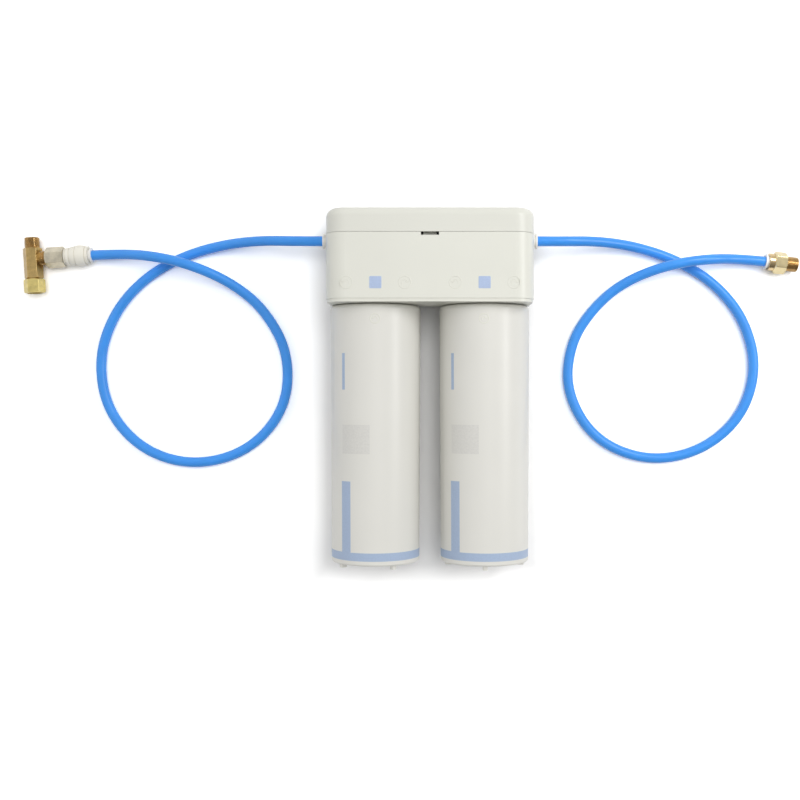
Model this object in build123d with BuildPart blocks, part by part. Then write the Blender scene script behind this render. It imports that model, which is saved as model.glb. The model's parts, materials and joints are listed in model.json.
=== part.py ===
from build123d import *
import math
import os

os.makedirs("parts", exist_ok=True)

# Twin cartridge water filter, in millimetres, lying on its back.
# X runs to the right, Y towards the header and Z out from the wall.
# The origin is on the wall plane, under the middle of the header and cartridges.

# Clearances
MOVING_GAP = 0.3
SNUG_GAP = 0.02
RUNNING_GAP = 0.08
OVERRUN = 1.0

# Header
HEADER_WIDTH = 186.0
HEADER_DEPTH = 94.0
HOUSING_HEIGHT = 61.5
COVER_HEIGHT = 22.5
HEADER_WALL = 2.5
FRONT_CORNER = 18.0
BACK_CORNER = 9.5
COVER_ROUND = 8.0
LIP_HEIGHT = 3.0
LIP_INSET = 0.8
LIP_BACK_Z = 38.0
SLOT_WIDTH = 16.0
SLOT_HEIGHT = 3.0
COVER_LIP_DEPTH = 4.0
COVER_LIP_WALL = 1.5
TONGUE_WIDTH = 12.0
TONGUE_LENGTH = 11.0
TONGUE_SETBACK = 7.0

# Cartridges
CARTRIDGE_PITCH = 101.0
CARTRIDGE_AXIS_Z = 43.5
CARTRIDGE_LENGTH = 235.5
CARTRIDGE_TOP_RADIUS = 41.75
CARTRIDGE_END_RADIUS = 40.5
CARTRIDGE_WALL = 2.4
SHOULDER_ROUND = 4.0
CARTRIDGE_GAP = 0.5
END_CAP_HEIGHT = 3.0
END_CAP_ROUND = 1.8
PLUG_DEPTH = 7.0
NUB_HEIGHT = 4.0
NUB_RING_RADIUS = 33.5
NUB_LENGTH = 6.0
NUB_WIDTH = 4.6
NUB_CORNER = 1.5
NUB_COUNT = 4
LEFT_NUB_ANGLE = 31.0
RIGHT_NUB_ANGLE = -1.6

# Wall bracket and its fasteners
BRACKET_WIDTH = 160.0
BRACKET_HEIGHT = 48.0
BRACKET_THICKNESS = 3.0
BRACKET_CORNER = 5.0
BRACKET_DROP = 8.0
KEYHOLE_SPACING = 127.0
KEYHOLE_RADIUS = 5.0
KEYHOLE_SLOT_WIDTH = 5.0
KEYHOLE_SLOT_RISE = 10.0
KEYHOLE_DROP = 38.0
KEYHOLE_ROOM = 4.0
SCREW_RADIUS = 2.0
SCREW_HEAD_RADIUS = 4.0
SCREW_LENGTH = 13.0
SCREW_DRIVE_WIDTH = 1.2
SCREW_DRIVE_DEPTH = 1.0
LEG_RADIUS = 5.0
LEG_ROW_DROPS = (22.0, 50.0)

# Manifold inside the header
SOCKET_RADIUS = 29.0
RING_ZONE = 23.0
SEAL_ZONE = 18.0
SEAL_BORE_RADIUS = 16.1
SEAT_THICKNESS = 4.0
SEAT_BORE_RADIUS = 5.3
CHAMBER_RADIUS = 7.5
CHAMBER_HEIGHT = 18.0
CHAMBER_LID_THICKNESS = 3.0
CHAMBER_LID_RADIUS = 9.0
LID_HEAD_RADIUS = 10.5
LID_HEAD_HEIGHT = 2.5
DECK_WIDTH = 34.0
DECK_ROUND = 4.0
HORN_RADIUS = 10.0
CHANNEL_RADIUS = 3.0
FEED_CHANNEL_RADIUS = 2.5
CROSSOVER_RADIUS = 6.0
CROSSOVER_RISE = 9.0
FEED_OFFSET = 11.5

# Lock rings and helical bayonet
RING_OUTER_RADIUS = 26.0
RING_INNER_RADIUS = 23.5
RING_END_GAP = 0.5
LEDGE_INNER_RADIUS = 18.0
LEDGE_THICKNESS = 4.5
LEDGE_START = -25.0
LEDGE_SWEEP = 90.0
LUG_OUTER_RADIUS = 22.5
LUG_THICKNESS = 5.0
LUG_SWEEP = 40.0
LUG_RISE = 13.0
LOCK_DROP = 6.0
QUARTER_TURN = 90.0
FULL_TURN = 360.0
LUG_COUNT = 2

# Cartridge neck
NECK_RADIUS = 15.8
NECK_FLANGE_RADIUS = 31.0
NECK_FLANGE_THICKNESS = 3.0
NECK_TOP_GAP = 4.0
SPIGOT_RADIUS = 5.0
SPIGOT_HEIGHT = 7.0
SPIGOT_BORE_RADIUS = 2.6
SPIGOT_SLOT_WIDTH = 2.0
SPIGOT_SLOT_DEPTH = 3.0
INLET_HOLE_RADIUS = 1.6
INLET_RING_RADIUS = 9.6
INLET_HOLE_COUNT = 6
SEAL_RING_SECTION = 1.45
SEAL_GROOVE_WIDTH = 3.2
SEAL_GROOVE_DEPTH = 2.6
SEAL_GROOVE_DROPS = (3.2, 8.6)

# Filter pack inside each cartridge
BLOCK_RADIUS = 34.0
BLOCK_BORE_RADIUS = 10.0
WRAP_THICKNESS = 1.8
CORE_RADIUS = 9.7
CORE_WALL = 1.6
CORE_HOLE_RADIUS = 2.0
CORE_HOLE_ROWS = 8
PACK_CAP_THICKNESS = 6.0
PACK_CAP_RIM_HEIGHT = 6.0
PACK_CAP_RIM_WALL = 1.5
PACK_SPIGOT_RADIUS = 7.0

# Shut-off valves
POPPET_DISC_RADIUS = 6.4
POPPET_DISC_THICKNESS = 2.0
POPPET_STEM_RADIUS = 2.2
POPPET_GUIDE_RADIUS = 3.0
POPPET_GUIDE_HEIGHT = 3.5
POPPET_SEAL_THICKNESS = 1.2
SPRING_WIRE_RADIUS = 0.5
SPRING_RADIUS = 4.6
SPRING_TURNS = 4.0

# Tube and push-fit ports, measured inwards from a collet's outer face
TUBE_RADIUS = 4.765
TUBE_BORE_RADIUS = 3.2
TUBE_DEPTH = 19.0
TUBE_STOP_GAP = 0.2
COLLET_FLANGE_RADIUS = 7.2
COLLET_FLANGE = 1.5
COLLET_TRAVEL = 1.5
COLLET_SLEEVE_RADIUS = 5.8
COLLET_JAW_RADIUS = 6.5
COLLET_JAW_START = 9.3
COLLET_JAW_END = 12.0
COLLET_SLOT_WIDTH = 0.9
COLLET_SLOT_START = 5.5
COLLET_SLOT_PAIRS = 3
COLLAR_BORE_RADIUS = 6.1
COLLAR_END = 8.3
CAVITY_RADIUS = 7.0
CAVITY_END = 17.4
TUBE_SEAT_RADIUS = 4.95
PORT_RING_START = 14.2
PORT_COLLAR_RADIUS = 8.6
COLLAR_TONGUE = 0.6

# Header ports
PORT_Z = 34.0
PORT_STANDOFF = 7.5

# Left fitting: connector, coupling nut and tee, lying flat
LEFT_FACE_X = -324.4
LEFT_FACE_Y = 129.5
LEFT_FITTING_Z = 10.3
LEFT_FITTING_TURN = 3.5
CONNECTOR_MOUTH_RADIUS = 8.8
CONNECTOR_COLLAR_CREASE = 5.4
CONNECTOR_SHOULDER_RADIUS = 10.0
CONNECTOR_BARREL_END = 14.5
CONNECTOR_BARREL_RADIUS = 10.2
CONNECTOR_CONE_END = 20.6
CONNECTOR_CONE_RADIUS = 9.7
CONNECTOR_CONE_END_RADIUS = 8.7
CONNECTOR_WAIST_END = 24.4
CONNECTOR_WAIST_RADIUS = 8.3
CONNECTOR_END = 26.2
CONNECTOR_TIP_RADIUS = 7.8
CONNECTOR_CROWN = 0.25
CONNECTOR_CREASE_WIDTH = 0.6
CONNECTOR_CREASE_DEPTH = 0.7
STUB_RADIUS = 5.6
STUB_FLANGE_RADIUS = 6.8
STUB_FLANGE_THICKNESS = 3.0
NUT_ACROSS_FLATS = 17.5
FACE_CIRCLE_SHARE = 0.96
HEXAGON_CHAMFER_ANGLE = 30.0
COUPLING_NUT_LENGTH = 17.4
NUT_LIP_THICKNESS = 3.0
NUT_LIP_BORE_RADIUS = 5.9
THREAD_RADIUS = 7.145
THREAD_CHAMFER = 0.8
FEMALE_THREAD_RADIUS = 7.2
BRANCH_THREAD_RADIUS = 6.9
WASHER_THICKNESS = 2.0
WASHER_BORE_RADIUS = 3.4
BRANCH_LENGTH = 22.4
TEE_ACROSS_FLATS = 15.6
TEE_BODY_ABOVE = 10.2
TEE_BODY_BELOW = 19.3
TEE_BODY_TURN = 12.0
TEE_THREAD_LENGTH = 10.0
TEE_BORE_RADIUS = 3.4
TEE_TAIL_FLANGE_RADIUS = 6.5
TEE_TAIL_FLANGE_THICKNESS = 1.8
SWIVEL_NUT_LENGTH = 13.4
SWIVEL_WASHER_THICKNESS = 1.5
SWIVEL_CHAMBER_RADIUS = 7.0
SWIVEL_NUT_TURN = 14.0

# Right fitting: adapter with a male thread, lying flat
RIGHT_FACE_X = 322.0
RIGHT_FACE_Y = 123.7
RIGHT_FITTING_TURN = -6.5
ADAPTER_ACROSS_FLATS = 18.5
ADAPTER_HEX_LENGTH = 11.5
ADAPTER_COLLAR_RADIUS = 8.25
ADAPTER_NECK_RADIUS = 6.6
ADAPTER_NECK_LENGTH = 1.0
ADAPTER_THREAD_LENGTH = 10.3

# Free tube beyond each port and before each fitting
STRAIGHT_OUT = 20.0
STRAIGHT_IN = 20.0
CORNER_SHARE = 0.45

# Corner points of each tube between its straight ends, chosen by hand
LEFT_ROUTE = [
    (-162.0, 142.0, 22.0),
    (-200.0, 139.5, 8.5),
    (-236.0, 130.0, 4.8),
    (-273.0, 110.5, 4.8),
    (-304.0, 77.0, 4.8),
    (-320.5, 31.0, 4.8),
    (-312.0, -21.0, 4.8),
    (-276.0, -60.0, 4.8),
    (-225.0, -73.5, 4.8),
    (-173.0, -58.0, 4.8),
    (-139.0, -17.0, 4.8),
    (-136.5, 35.0, 4.8),
    (-159.0, 76.5, 4.8),
    (-189.0, 102.0, 9.0),
    (-226.0, 118.5, 24.5),
    (-264.5, 127.5, 24.5),
]
RIGHT_ROUTE = [
    (162.0, 141.3, 22.0),
    (200.0, 137.5, 8.5),
    (238.0, 125.5, 4.8),
    (275.0, 103.5, 4.8),
    (303.5, 69.0, 4.8),
    (316.0, 21.5, 4.8),
    (301.0, -27.0, 4.8),
    (260.5, -60.3, 4.8),
    (208.0, -69.0, 4.8),
    (157.5, -47.5, 4.8),
    (131.0, -0.5, 4.8),
    (136.0, 46.0, 4.8),
    (158.0, 79.5, 4.8),
    (186.0, 103.5, 8.0),
    (222.0, 117.5, 24.5),
    (262.0, 124.3, 24.5),
]

# Heights and depths that follow from the sizes above
OVERALL_LENGTH = COVER_HEIGHT + HOUSING_HEIGHT + CARTRIDGE_GAP + CARTRIDGE_LENGTH + NUB_HEIGHT
TOP_Y = OVERALL_LENGTH / 2
SEAM_Y = TOP_Y - COVER_HEIGHT
BOTTOM_Y = SEAM_Y - HOUSING_HEIGHT
SHOULDER_Y = BOTTOM_Y - CARTRIDGE_GAP
CARTRIDGE_END_Y = SHOULDER_Y - CARTRIDGE_LENGTH
END_CAP_Y = CARTRIDGE_END_Y + END_CAP_HEIGHT
BACK_Z = BRACKET_THICKNESS
FRONT_Z = BACK_Z + HEADER_DEPTH
RING_TOP_Y = BOTTOM_Y + RING_ZONE
CEILING_Y = RING_TOP_Y + SEAL_ZONE
SEAT_Y = CEILING_Y + SEAT_THICKNESS
CHAMBER_TOP_Y = SEAT_Y + CHAMBER_HEIGHT
DECK_TOP_Y = CHAMBER_TOP_Y + CHAMBER_LID_THICKNESS
CROSSOVER_Y = SEAT_Y + CROSSOVER_RISE
NECK_TOP_Y = CEILING_Y - NECK_TOP_GAP
SPIGOT_TOP_Y = NECK_TOP_Y + SPIGOT_HEIGHT
NECK_FLANGE_TOP_Y = SHOULDER_Y - CARTRIDGE_WALL
NECK_FLANGE_Y = NECK_FLANGE_TOP_Y - NECK_FLANGE_THICKNESS
PORT_Y = SEAM_Y
PORT_REACH = HEADER_WIDTH / 2 + PORT_STANDOFF
PORT_MOUTH = COLLET_FLANGE + COLLET_TRAVEL + MOVING_GAP
LEFT_X = -CARTRIDGE_PITCH / 2
RIGHT_X = CARTRIDGE_PITCH / 2
DECK_BACK_Z = PORT_Z - HORN_RADIUS
DECK_FRONT_Z = CARTRIDGE_AXIS_Z + LID_HEAD_RADIUS
HELIX_PITCH = LOCK_DROP * FULL_TURN / QUARTER_TURN
SEAL_RING_RADIUS = SEAL_BORE_RADIUS - SEAL_RING_SECTION
PORT_RING_RADIUS = (CAVITY_RADIUS + TUBE_RADIUS) / 2
PORT_RING_SECTION = (CAVITY_RADIUS - TUBE_RADIUS) / 2
RIGHT_FITTING_Z = ADAPTER_ACROSS_FLATS / 2 + SNUG_GAP
NUT_START = CONNECTOR_END + MOVING_GAP
STUB_FLANGE_START = NUT_START + NUT_LIP_THICKNESS + MOVING_GAP
STUB_END = STUB_FLANGE_START + STUB_FLANGE_THICKNESS
BRANCH_END = STUB_END + WASHER_THICKNESS
TEE_STATION = BRANCH_END + BRANCH_LENGTH
SWIVEL_START = TEE_BODY_BELOW + MOVING_GAP
TAIL_FLANGE_START = SWIVEL_START + NUT_LIP_THICKNESS + MOVING_GAP
TAIL_END = TAIL_FLANGE_START + TEE_TAIL_FLANGE_THICKNESS
SWIVEL_WASHER_END = TAIL_END + SWIVEL_WASHER_THICKNESS
SWIVEL_END = SWIVEL_START + SWIVEL_NUT_LENGTH


def level(x, y, z):
    """A plane square to Y, whose own y axis points at the wall."""
    return Plane(origin=(x, y, z), x_dir=(1, 0, 0), z_dir=(0, 1, 0))


def sideways(x, y, z, side):
    """A plane square to X, facing right for side 1 and left for -1, whose own x points along Y."""
    return Plane(origin=(x, y, z), x_dir=(0, 1, 0), z_dir=(side, 0, 0))


def upright(x):
    """A plane through a cartridge's axis: its x is the radius and its y is the row's Y."""
    return Plane(origin=(x, 0, CARTRIDGE_AXIS_Z), x_dir=(1, 0, 0), z_dir=(0, 0, 1))


def upright_axis(x):
    """A cartridge's own axis."""
    return Axis((x, 0, CARTRIDGE_AXIS_Z), (0, 1, 0))


def heading(angle):
    """The unit vector in the floor plane at an angle from X."""
    return Vector(math.cos(math.radians(angle)), math.sin(math.radians(angle)), 0)


def along(point, direction):
    """A plane whose x runs along a direction and whose y is the radius, for turned pieces."""
    return Plane(origin=tuple(point), x_dir=tuple(direction), z_dir=(0, 0, 1))


def across(point, direction):
    """A plane square to a direction in the floor plane, with its own y pointing up."""
    side = Vector(0, 0, 1).cross(direction)
    return Plane(origin=tuple(point), x_dir=tuple(side), z_dir=tuple(direction))


def turned(plane, points):
    """The half section of a turned piece through the points, drawn on a plane."""
    with BuildSketch(plane) as section:
        with BuildLine():
            Polyline(*points, close=True)
        make_face()
    return section.sketch


def ring_section(plane, start, end, inner, outer):
    """The half section of a plain ring between two stations along a plane's x."""
    return turned(plane, [(start, inner), (end, inner), (end, outer), (start, outer)])


def thread_section(plane, start, end):
    """The half section of a solid thread blank whose far end is chamfered."""
    root = THREAD_RADIUS - THREAD_CHAMFER
    ease = math.copysign(THREAD_CHAMFER, end - start)
    rim = [(end, root), (end - ease, THREAD_RADIUS), (start, THREAD_RADIUS)]
    return turned(plane, [(start, 0), (end, 0), *rim])


def rising_section(x, low, high, inner, outer):
    """The half section of a ring about a cartridge's axis, between two heights."""
    return turned(upright(x), [(inner, low), (outer, low), (outer, high), (inner, high)])


# Header shells


def header_outline(y, inset):
    """The header seen from below at one height: two wide front corners and two small back ones."""
    with BuildSketch(level(0, y, (BACK_Z + FRONT_Z) / 2)) as outline:
        Rectangle(HEADER_WIDTH - 2 * inset, HEADER_DEPTH - 2 * inset)
        fillet(outline.vertices().group_by(Axis.Y)[0], FRONT_CORNER - inset)
        fillet(outline.vertices().group_by(Axis.Y)[-1], BACK_CORNER - inset)
    return outline.sketch


def front_outline(y, inset, back_z):
    """The part of that outline in front of one distance off the wall."""
    with BuildSketch(level(0, y, 0)) as outline:
        add(header_outline(y, inset))
        with Locations((0, -back_z)):
            Rectangle(HEADER_WIDTH, HEADER_DEPTH, align=(Align.CENTER, Align.MIN), mode=Mode.SUBTRACT)
    return outline.sketch


def leg_places():
    """Where the manifold's four legs stand on the back wall."""
    return [(x, BOTTOM_Y + drop) for x in (LEFT_X, RIGHT_X) for drop in LEG_ROW_DROPS]


with BuildPart() as header_housing:
    housing_top = SEAM_Y - MOVING_GAP / 2
    extrude(header_outline(BOTTOM_Y + LIP_HEIGHT, 0), amount=housing_top - BOTTOM_Y - LIP_HEIGHT)
    # The floor steps up behind the lip, so that only the front of the underside shows
    extrude(front_outline(BOTTOM_Y, LIP_INSET, LIP_BACK_Z), amount=LIP_HEIGHT)
    floor_top = BOTTOM_Y + HEADER_WALL
    extrude(header_outline(floor_top + LIP_HEIGHT, HEADER_WALL), amount=HOUSING_HEIGHT, mode=Mode.SUBTRACT)
    lip_inside = front_outline(floor_top, HEADER_WALL, LIP_BACK_Z + HEADER_WALL)
    extrude(lip_inside, amount=LIP_HEIGHT, mode=Mode.SUBTRACT)
    with BuildSketch(level(0, BOTTOM_Y, CARTRIDGE_AXIS_Z)):
        with GridLocations(CARTRIDGE_PITCH, 0, 2, 1):
            Circle(SOCKET_RADIUS + MOVING_GAP)
    extrude(amount=LIP_HEIGHT + HEADER_WALL, mode=Mode.SUBTRACT)
    with BuildSketch(sideways(0, PORT_Y, PORT_Z, 1)):
        Circle(HORN_RADIUS + MOVING_GAP)
    extrude(amount=HEADER_WIDTH / 2 + OVERRUN, both=True, mode=Mode.SUBTRACT)
    with BuildSketch(Plane.XY.offset(FRONT_Z)):
        with Locations((0, SEAM_Y - SLOT_HEIGHT / 2)):
            Rectangle(SLOT_WIDTH, SLOT_HEIGHT)
    extrude(amount=-HEADER_WALL - OVERRUN, mode=Mode.SUBTRACT)
    with BuildSketch(Plane.XY.offset(BACK_Z)):
        with Locations(*leg_places()):
            Circle(SCREW_RADIUS + MOVING_GAP)
        with Locations((0, BOTTOM_Y + KEYHOLE_DROP - KEYHOLE_ROOM)):
            with GridLocations(KEYHOLE_SPACING, 0, 2, 1):
                Rectangle(
                    2 * (KEYHOLE_RADIUS + KEYHOLE_ROOM),
                    2 * (KEYHOLE_RADIUS + KEYHOLE_ROOM) + KEYHOLE_SLOT_RISE,
                )
    extrude(amount=HEADER_WALL, mode=Mode.SUBTRACT)
header_housing.part.label = "header_housing"
export_step(header_housing.part, "parts/header_housing.step")


with BuildPart() as top_cover:
    cover_bottom = SEAM_Y + MOVING_GAP / 2
    cover_height = TOP_Y - cover_bottom
    extrude(header_outline(cover_bottom, 0), amount=cover_height)
    fillet(top_cover.faces().sort_by(Axis.Y)[-1].edges(), COVER_ROUND)
    offset(amount=-HEADER_WALL, openings=top_cover.faces().sort_by(Axis.Y)[0])
    inner_inset = HEADER_WALL + MOVING_GAP + COVER_LIP_WALL
    with BuildSketch(level(0, cover_bottom, 0)):
        add(header_outline(cover_bottom, HEADER_WALL - MOVING_GAP))
        add(header_outline(cover_bottom, inner_inset), mode=Mode.SUBTRACT)
    extrude(amount=COVER_LIP_DEPTH)
    with BuildSketch(level(0, cover_bottom - COVER_LIP_DEPTH, 0)):
        add(header_outline(cover_bottom - COVER_LIP_DEPTH, HEADER_WALL + MOVING_GAP))
        add(header_outline(cover_bottom - COVER_LIP_DEPTH, inner_inset), mode=Mode.SUBTRACT)
    extrude(amount=COVER_LIP_DEPTH)
    # The slot opens on a gap in the lip, and the latch tongue hangs behind it from a short arm
    lip_front = FRONT_Z - HEADER_WALL
    tongue_front = lip_front - TONGUE_SETBACK
    tongue_back = tongue_front - COVER_LIP_WALL
    with BuildSketch(level(0, cover_bottom - COVER_LIP_DEPTH, lip_front)):
        Rectangle(SLOT_WIDTH, 2 * (inner_inset - HEADER_WALL))
    extrude(amount=COVER_LIP_DEPTH, mode=Mode.SUBTRACT)
    with BuildSketch(Plane(origin=(0, 0, 0), x_dir=(0, 1, 0), z_dir=(1, 0, 0))):
        with BuildLine():
            Polyline(
                (cover_bottom, lip_front),
                (cover_bottom, tongue_front),
                (cover_bottom - TONGUE_LENGTH, tongue_front),
                (cover_bottom - TONGUE_LENGTH, tongue_back),
                (cover_bottom + COVER_LIP_DEPTH, tongue_back),
                (cover_bottom + COVER_LIP_DEPTH, lip_front),
                close=True,
            )
        make_face()
    extrude(amount=TONGUE_WIDTH / 2, both=True)
    with BuildSketch(sideways(0, PORT_Y, PORT_Z, 1)):
        Circle(HORN_RADIUS + MOVING_GAP)
        with Locations((-COVER_LIP_DEPTH, 0)):
            Rectangle(2 * COVER_LIP_DEPTH, 2 * (HORN_RADIUS + MOVING_GAP))
    extrude(amount=HEADER_WIDTH / 2 + OVERRUN, both=True, mode=Mode.SUBTRACT)
top_cover.part.label = "top_cover"
export_step(top_cover.part, "parts/top_cover.step")


with BuildPart() as wall_bracket:
    with BuildSketch(Plane.XY):
        with Locations((0, BOTTOM_Y + BRACKET_DROP + BRACKET_HEIGHT / 2)):
            RectangleRounded(BRACKET_WIDTH, BRACKET_HEIGHT, BRACKET_CORNER)
        with Locations((0, BOTTOM_Y + KEYHOLE_DROP - KEYHOLE_SLOT_RISE)):
            with GridLocations(KEYHOLE_SPACING, 0, 2, 1):
                Circle(KEYHOLE_RADIUS, mode=Mode.SUBTRACT)
        with Locations((0, BOTTOM_Y + KEYHOLE_DROP - KEYHOLE_SLOT_RISE / 2)):
            with GridLocations(KEYHOLE_SPACING, 0, 2, 1):
                SlotCenterToCenter(
                    KEYHOLE_SLOT_RISE, KEYHOLE_SLOT_WIDTH, rotation=QUARTER_TURN, mode=Mode.SUBTRACT
                )
    extrude(amount=BRACKET_THICKNESS)
    with Locations(*[Location((x, y, 0), (180, 0, 0)) for x, y in leg_places()]):
        CounterSinkHole(
            SCREW_RADIUS + SNUG_GAP,
            SCREW_HEAD_RADIUS + SNUG_GAP,
            depth=BRACKET_THICKNESS,
        )
wall_bracket.part.label = "wall_bracket"
export_step(wall_bracket.part, "parts/wall_bracket.step")


with BuildPart() as bracket_screws:
    head_cone = SCREW_HEAD_RADIUS - SCREW_RADIUS
    for x, y in leg_places():
        with BuildSketch(Plane(origin=(x, y, 0), x_dir=(1, 0, 0), z_dir=(0, -1, 0))):
            with BuildLine():
                Polyline(
                    (0, 0),
                    (SCREW_HEAD_RADIUS, 0),
                    (SCREW_RADIUS, head_cone),
                    (SCREW_RADIUS, SCREW_LENGTH),
                    (0, SCREW_LENGTH),
                    close=True,
                )
            make_face()
        revolve(axis=Axis((x, y, 0), (0, 0, 1)))
    with BuildSketch(Plane.XY):
        with Locations(*leg_places()):
            Rectangle(2 * SCREW_RADIUS, SCREW_DRIVE_WIDTH)
            Rectangle(SCREW_DRIVE_WIDTH, 2 * SCREW_RADIUS)
    extrude(amount=SCREW_DRIVE_DEPTH, mode=Mode.SUBTRACT)
bracket_screws.part.label = "bracket_screws"
export_step(bracket_screws.part, "parts/bracket_screws.step")


# Manifold and the pieces seated in it

with BuildPart() as manifold:
    with BuildSketch(level(0, BOTTOM_Y, CARTRIDGE_AXIS_Z)):
        with GridLocations(CARTRIDGE_PITCH, 0, 2, 1):
            Circle(SOCKET_RADIUS)
    extrude(amount=RING_ZONE + HEADER_WALL)
    with BuildSketch(level(0, BOTTOM_Y, CARTRIDGE_AXIS_Z)):
        with GridLocations(CARTRIDGE_PITCH, 0, 2, 1):
            Circle(SEAL_BORE_RADIUS + CROSSOVER_RADIUS)
    extrude(amount=SEAT_Y - BOTTOM_Y)
    with BuildSketch(level(0, SEAT_Y, (DECK_BACK_Z + DECK_FRONT_Z) / 2)):
        with GridLocations(CARTRIDGE_PITCH, 0, 2, 1):
            RectangleRounded(DECK_WIDTH, DECK_FRONT_Z - DECK_BACK_Z, DECK_ROUND)
    extrude(amount=DECK_TOP_Y - SEAT_Y)
    with BuildSketch(sideways(0, CROSSOVER_Y, CARTRIDGE_AXIS_Z, 1)):
        Circle(CROSSOVER_RADIUS)
    extrude(amount=CARTRIDGE_PITCH / 2, both=True)
    for side in (-1, 1):
        horn_root = (CARTRIDGE_PITCH + DECK_WIDTH) / 2 - OVERRUN
        with BuildSketch(sideways(side * horn_root, PORT_Y, PORT_Z, side)):
            Circle(HORN_RADIUS)
        extrude(amount=PORT_REACH - PORT_MOUTH - horn_root)
    with BuildSketch(Plane.XY.offset(BACK_Z + HEADER_WALL)):
        with Locations(*leg_places()):
            Circle(LEG_RADIUS)
    extrude(amount=DECK_BACK_Z + OVERRUN - BACK_Z - HEADER_WALL)
    # Lock ring seats, seal bores, valve seats and chambers, from below upwards
    for radius, low, high in (
        (RING_OUTER_RADIUS, BOTTOM_Y, RING_TOP_Y),
        (SEAL_BORE_RADIUS, RING_TOP_Y, CEILING_Y),
        (SEAT_BORE_RADIUS, CEILING_Y, SEAT_Y),
        (CHAMBER_RADIUS, SEAT_Y, CHAMBER_TOP_Y),
        (CHAMBER_LID_RADIUS, CHAMBER_TOP_Y, DECK_TOP_Y),
    ):
        with BuildSketch(level(0, low, CARTRIDGE_AXIS_Z)):
            with GridLocations(CARTRIDGE_PITCH, 0, 2, 1):
                Circle(radius)
        extrude(amount=high - low, mode=Mode.SUBTRACT)
    # Push-fit cavities in both horns, then the inlet and outlet channels
    for side in (-1, 1):
        mouth = sideways(side * PORT_REACH, PORT_Y, PORT_Z, -side)
        for radius, start, end in (
            (PORT_COLLAR_RADIUS, PORT_MOUTH, COLLAR_END),
            (CAVITY_RADIUS, COLLAR_END, CAVITY_END),
            (TUBE_SEAT_RADIUS, CAVITY_END, TUBE_DEPTH + TUBE_STOP_GAP),
            (CHANNEL_RADIUS, TUBE_DEPTH, PORT_REACH - CARTRIDGE_PITCH / 2),
        ):
            with BuildSketch(mouth.offset(start)):
                Circle(radius)
            extrude(amount=end - start, mode=Mode.SUBTRACT)
    with BuildSketch(level(LEFT_X, PORT_Y, PORT_Z)):
        Circle(CHANNEL_RADIUS)
    extrude(amount=CEILING_Y - PORT_Y, mode=Mode.SUBTRACT)
    with BuildSketch(Plane(origin=(RIGHT_X, PORT_Y - CHANNEL_RADIUS, PORT_Z))):
        Circle(CHANNEL_RADIUS)
    extrude(amount=CARTRIDGE_AXIS_Z - PORT_Z, mode=Mode.SUBTRACT)
    # The crossover runs from the left valve chamber to the right socket's outer ring
    feed_x = RIGHT_X - FEED_OFFSET
    with BuildSketch(sideways(LEFT_X, CROSSOVER_Y, CARTRIDGE_AXIS_Z, 1)):
        Circle(FEED_CHANNEL_RADIUS)
    extrude(amount=feed_x - LEFT_X, mode=Mode.SUBTRACT)
    with BuildSketch(level(feed_x, CROSSOVER_Y, CARTRIDGE_AXIS_Z)):
        Circle(FEED_CHANNEL_RADIUS)
    extrude(amount=CEILING_Y - CROSSOVER_Y, mode=Mode.SUBTRACT)
    with BuildSketch(Plane.XY.offset(BACK_Z + HEADER_WALL)):
        with Locations(*leg_places()):
            Circle(SCREW_RADIUS + SNUG_GAP)
    extrude(amount=SCREW_LENGTH - BACK_Z - HEADER_WALL + SNUG_GAP, mode=Mode.SUBTRACT)
manifold.part.label = "manifold"
export_step(manifold.part, "parts/manifold.step")


with BuildPart() as chamber_lids:
    for x in (LEFT_X, RIGHT_X):
        plug = rising_section(x, CHAMBER_TOP_Y, DECK_TOP_Y, 0, CHAMBER_LID_RADIUS - SNUG_GAP)
        revolve(plug, axis=upright_axis(x))
        head = rising_section(x, DECK_TOP_Y, DECK_TOP_Y + LID_HEAD_HEIGHT, 0, LID_HEAD_RADIUS)
        revolve(head, axis=upright_axis(x))
    with BuildSketch(level(0, DECK_TOP_Y + LID_HEAD_HEIGHT, CARTRIDGE_AXIS_Z)):
        with GridLocations(CARTRIDGE_PITCH, 0, 2, 1):
            RegularPolygon(CHAMBER_RADIUS / 2, 6, major_radius=False)
    extrude(amount=-LID_HEAD_HEIGHT, mode=Mode.SUBTRACT)
chamber_lids.part.label = "chamber_lids"
export_step(chamber_lids.part, "parts/chamber_lids.step")


def helical_bar(x, start_angle, sweep_angle, base_y, inner, outer, thickness):
    """A bar that climbs round a cartridge's axis with the lock's pitch; loosening turns it down.

    start_angle is measured from the front, the way that the cartridge turns when it is loosened,
    and base_y is the height of the bar's underside there.
    """
    middle = (inner + outer) / 2
    start = math.radians(start_angle)
    outward = Vector(-math.sin(start), 0, math.cos(start))
    onward = Vector(-math.cos(start), 0, -math.sin(start))
    centre = Vector(x, base_y + thickness / 2, CARTRIDGE_AXIS_Z)
    fall = HELIX_PITCH * sweep_angle / FULL_TURN
    path = Edge.make_helix(HELIX_PITCH, fall, middle, center=centre, normal=(0, -1, 0))
    first = path.position_at(0) - centre
    turn = outward.get_signed_angle(first, Vector(0, -1, 0))
    path = path.rotate(Axis(centre, (0, -1, 0)), -turn)
    foot = tuple(centre + outward * middle)
    with BuildSketch(Plane(origin=foot, x_dir=tuple(outward), z_dir=tuple(onward))) as section:
        Rectangle(outer - inner, thickness)
    with BuildPart() as bar:
        add(section.sketch)
        sweep(path=path, is_frenet=True)
    return bar.part


LUG_BASE_Y = BOTTOM_Y + LUG_RISE
LUG_FALL = HELIX_PITCH * LUG_SWEEP / 2 / FULL_TURN
LEDGE_RISE = -HELIX_PITCH * LEDGE_START / FULL_TURN
LEDGE_BASE_Y = LUG_BASE_Y + LEDGE_RISE - MOVING_GAP - LEDGE_THICKNESS

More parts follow.
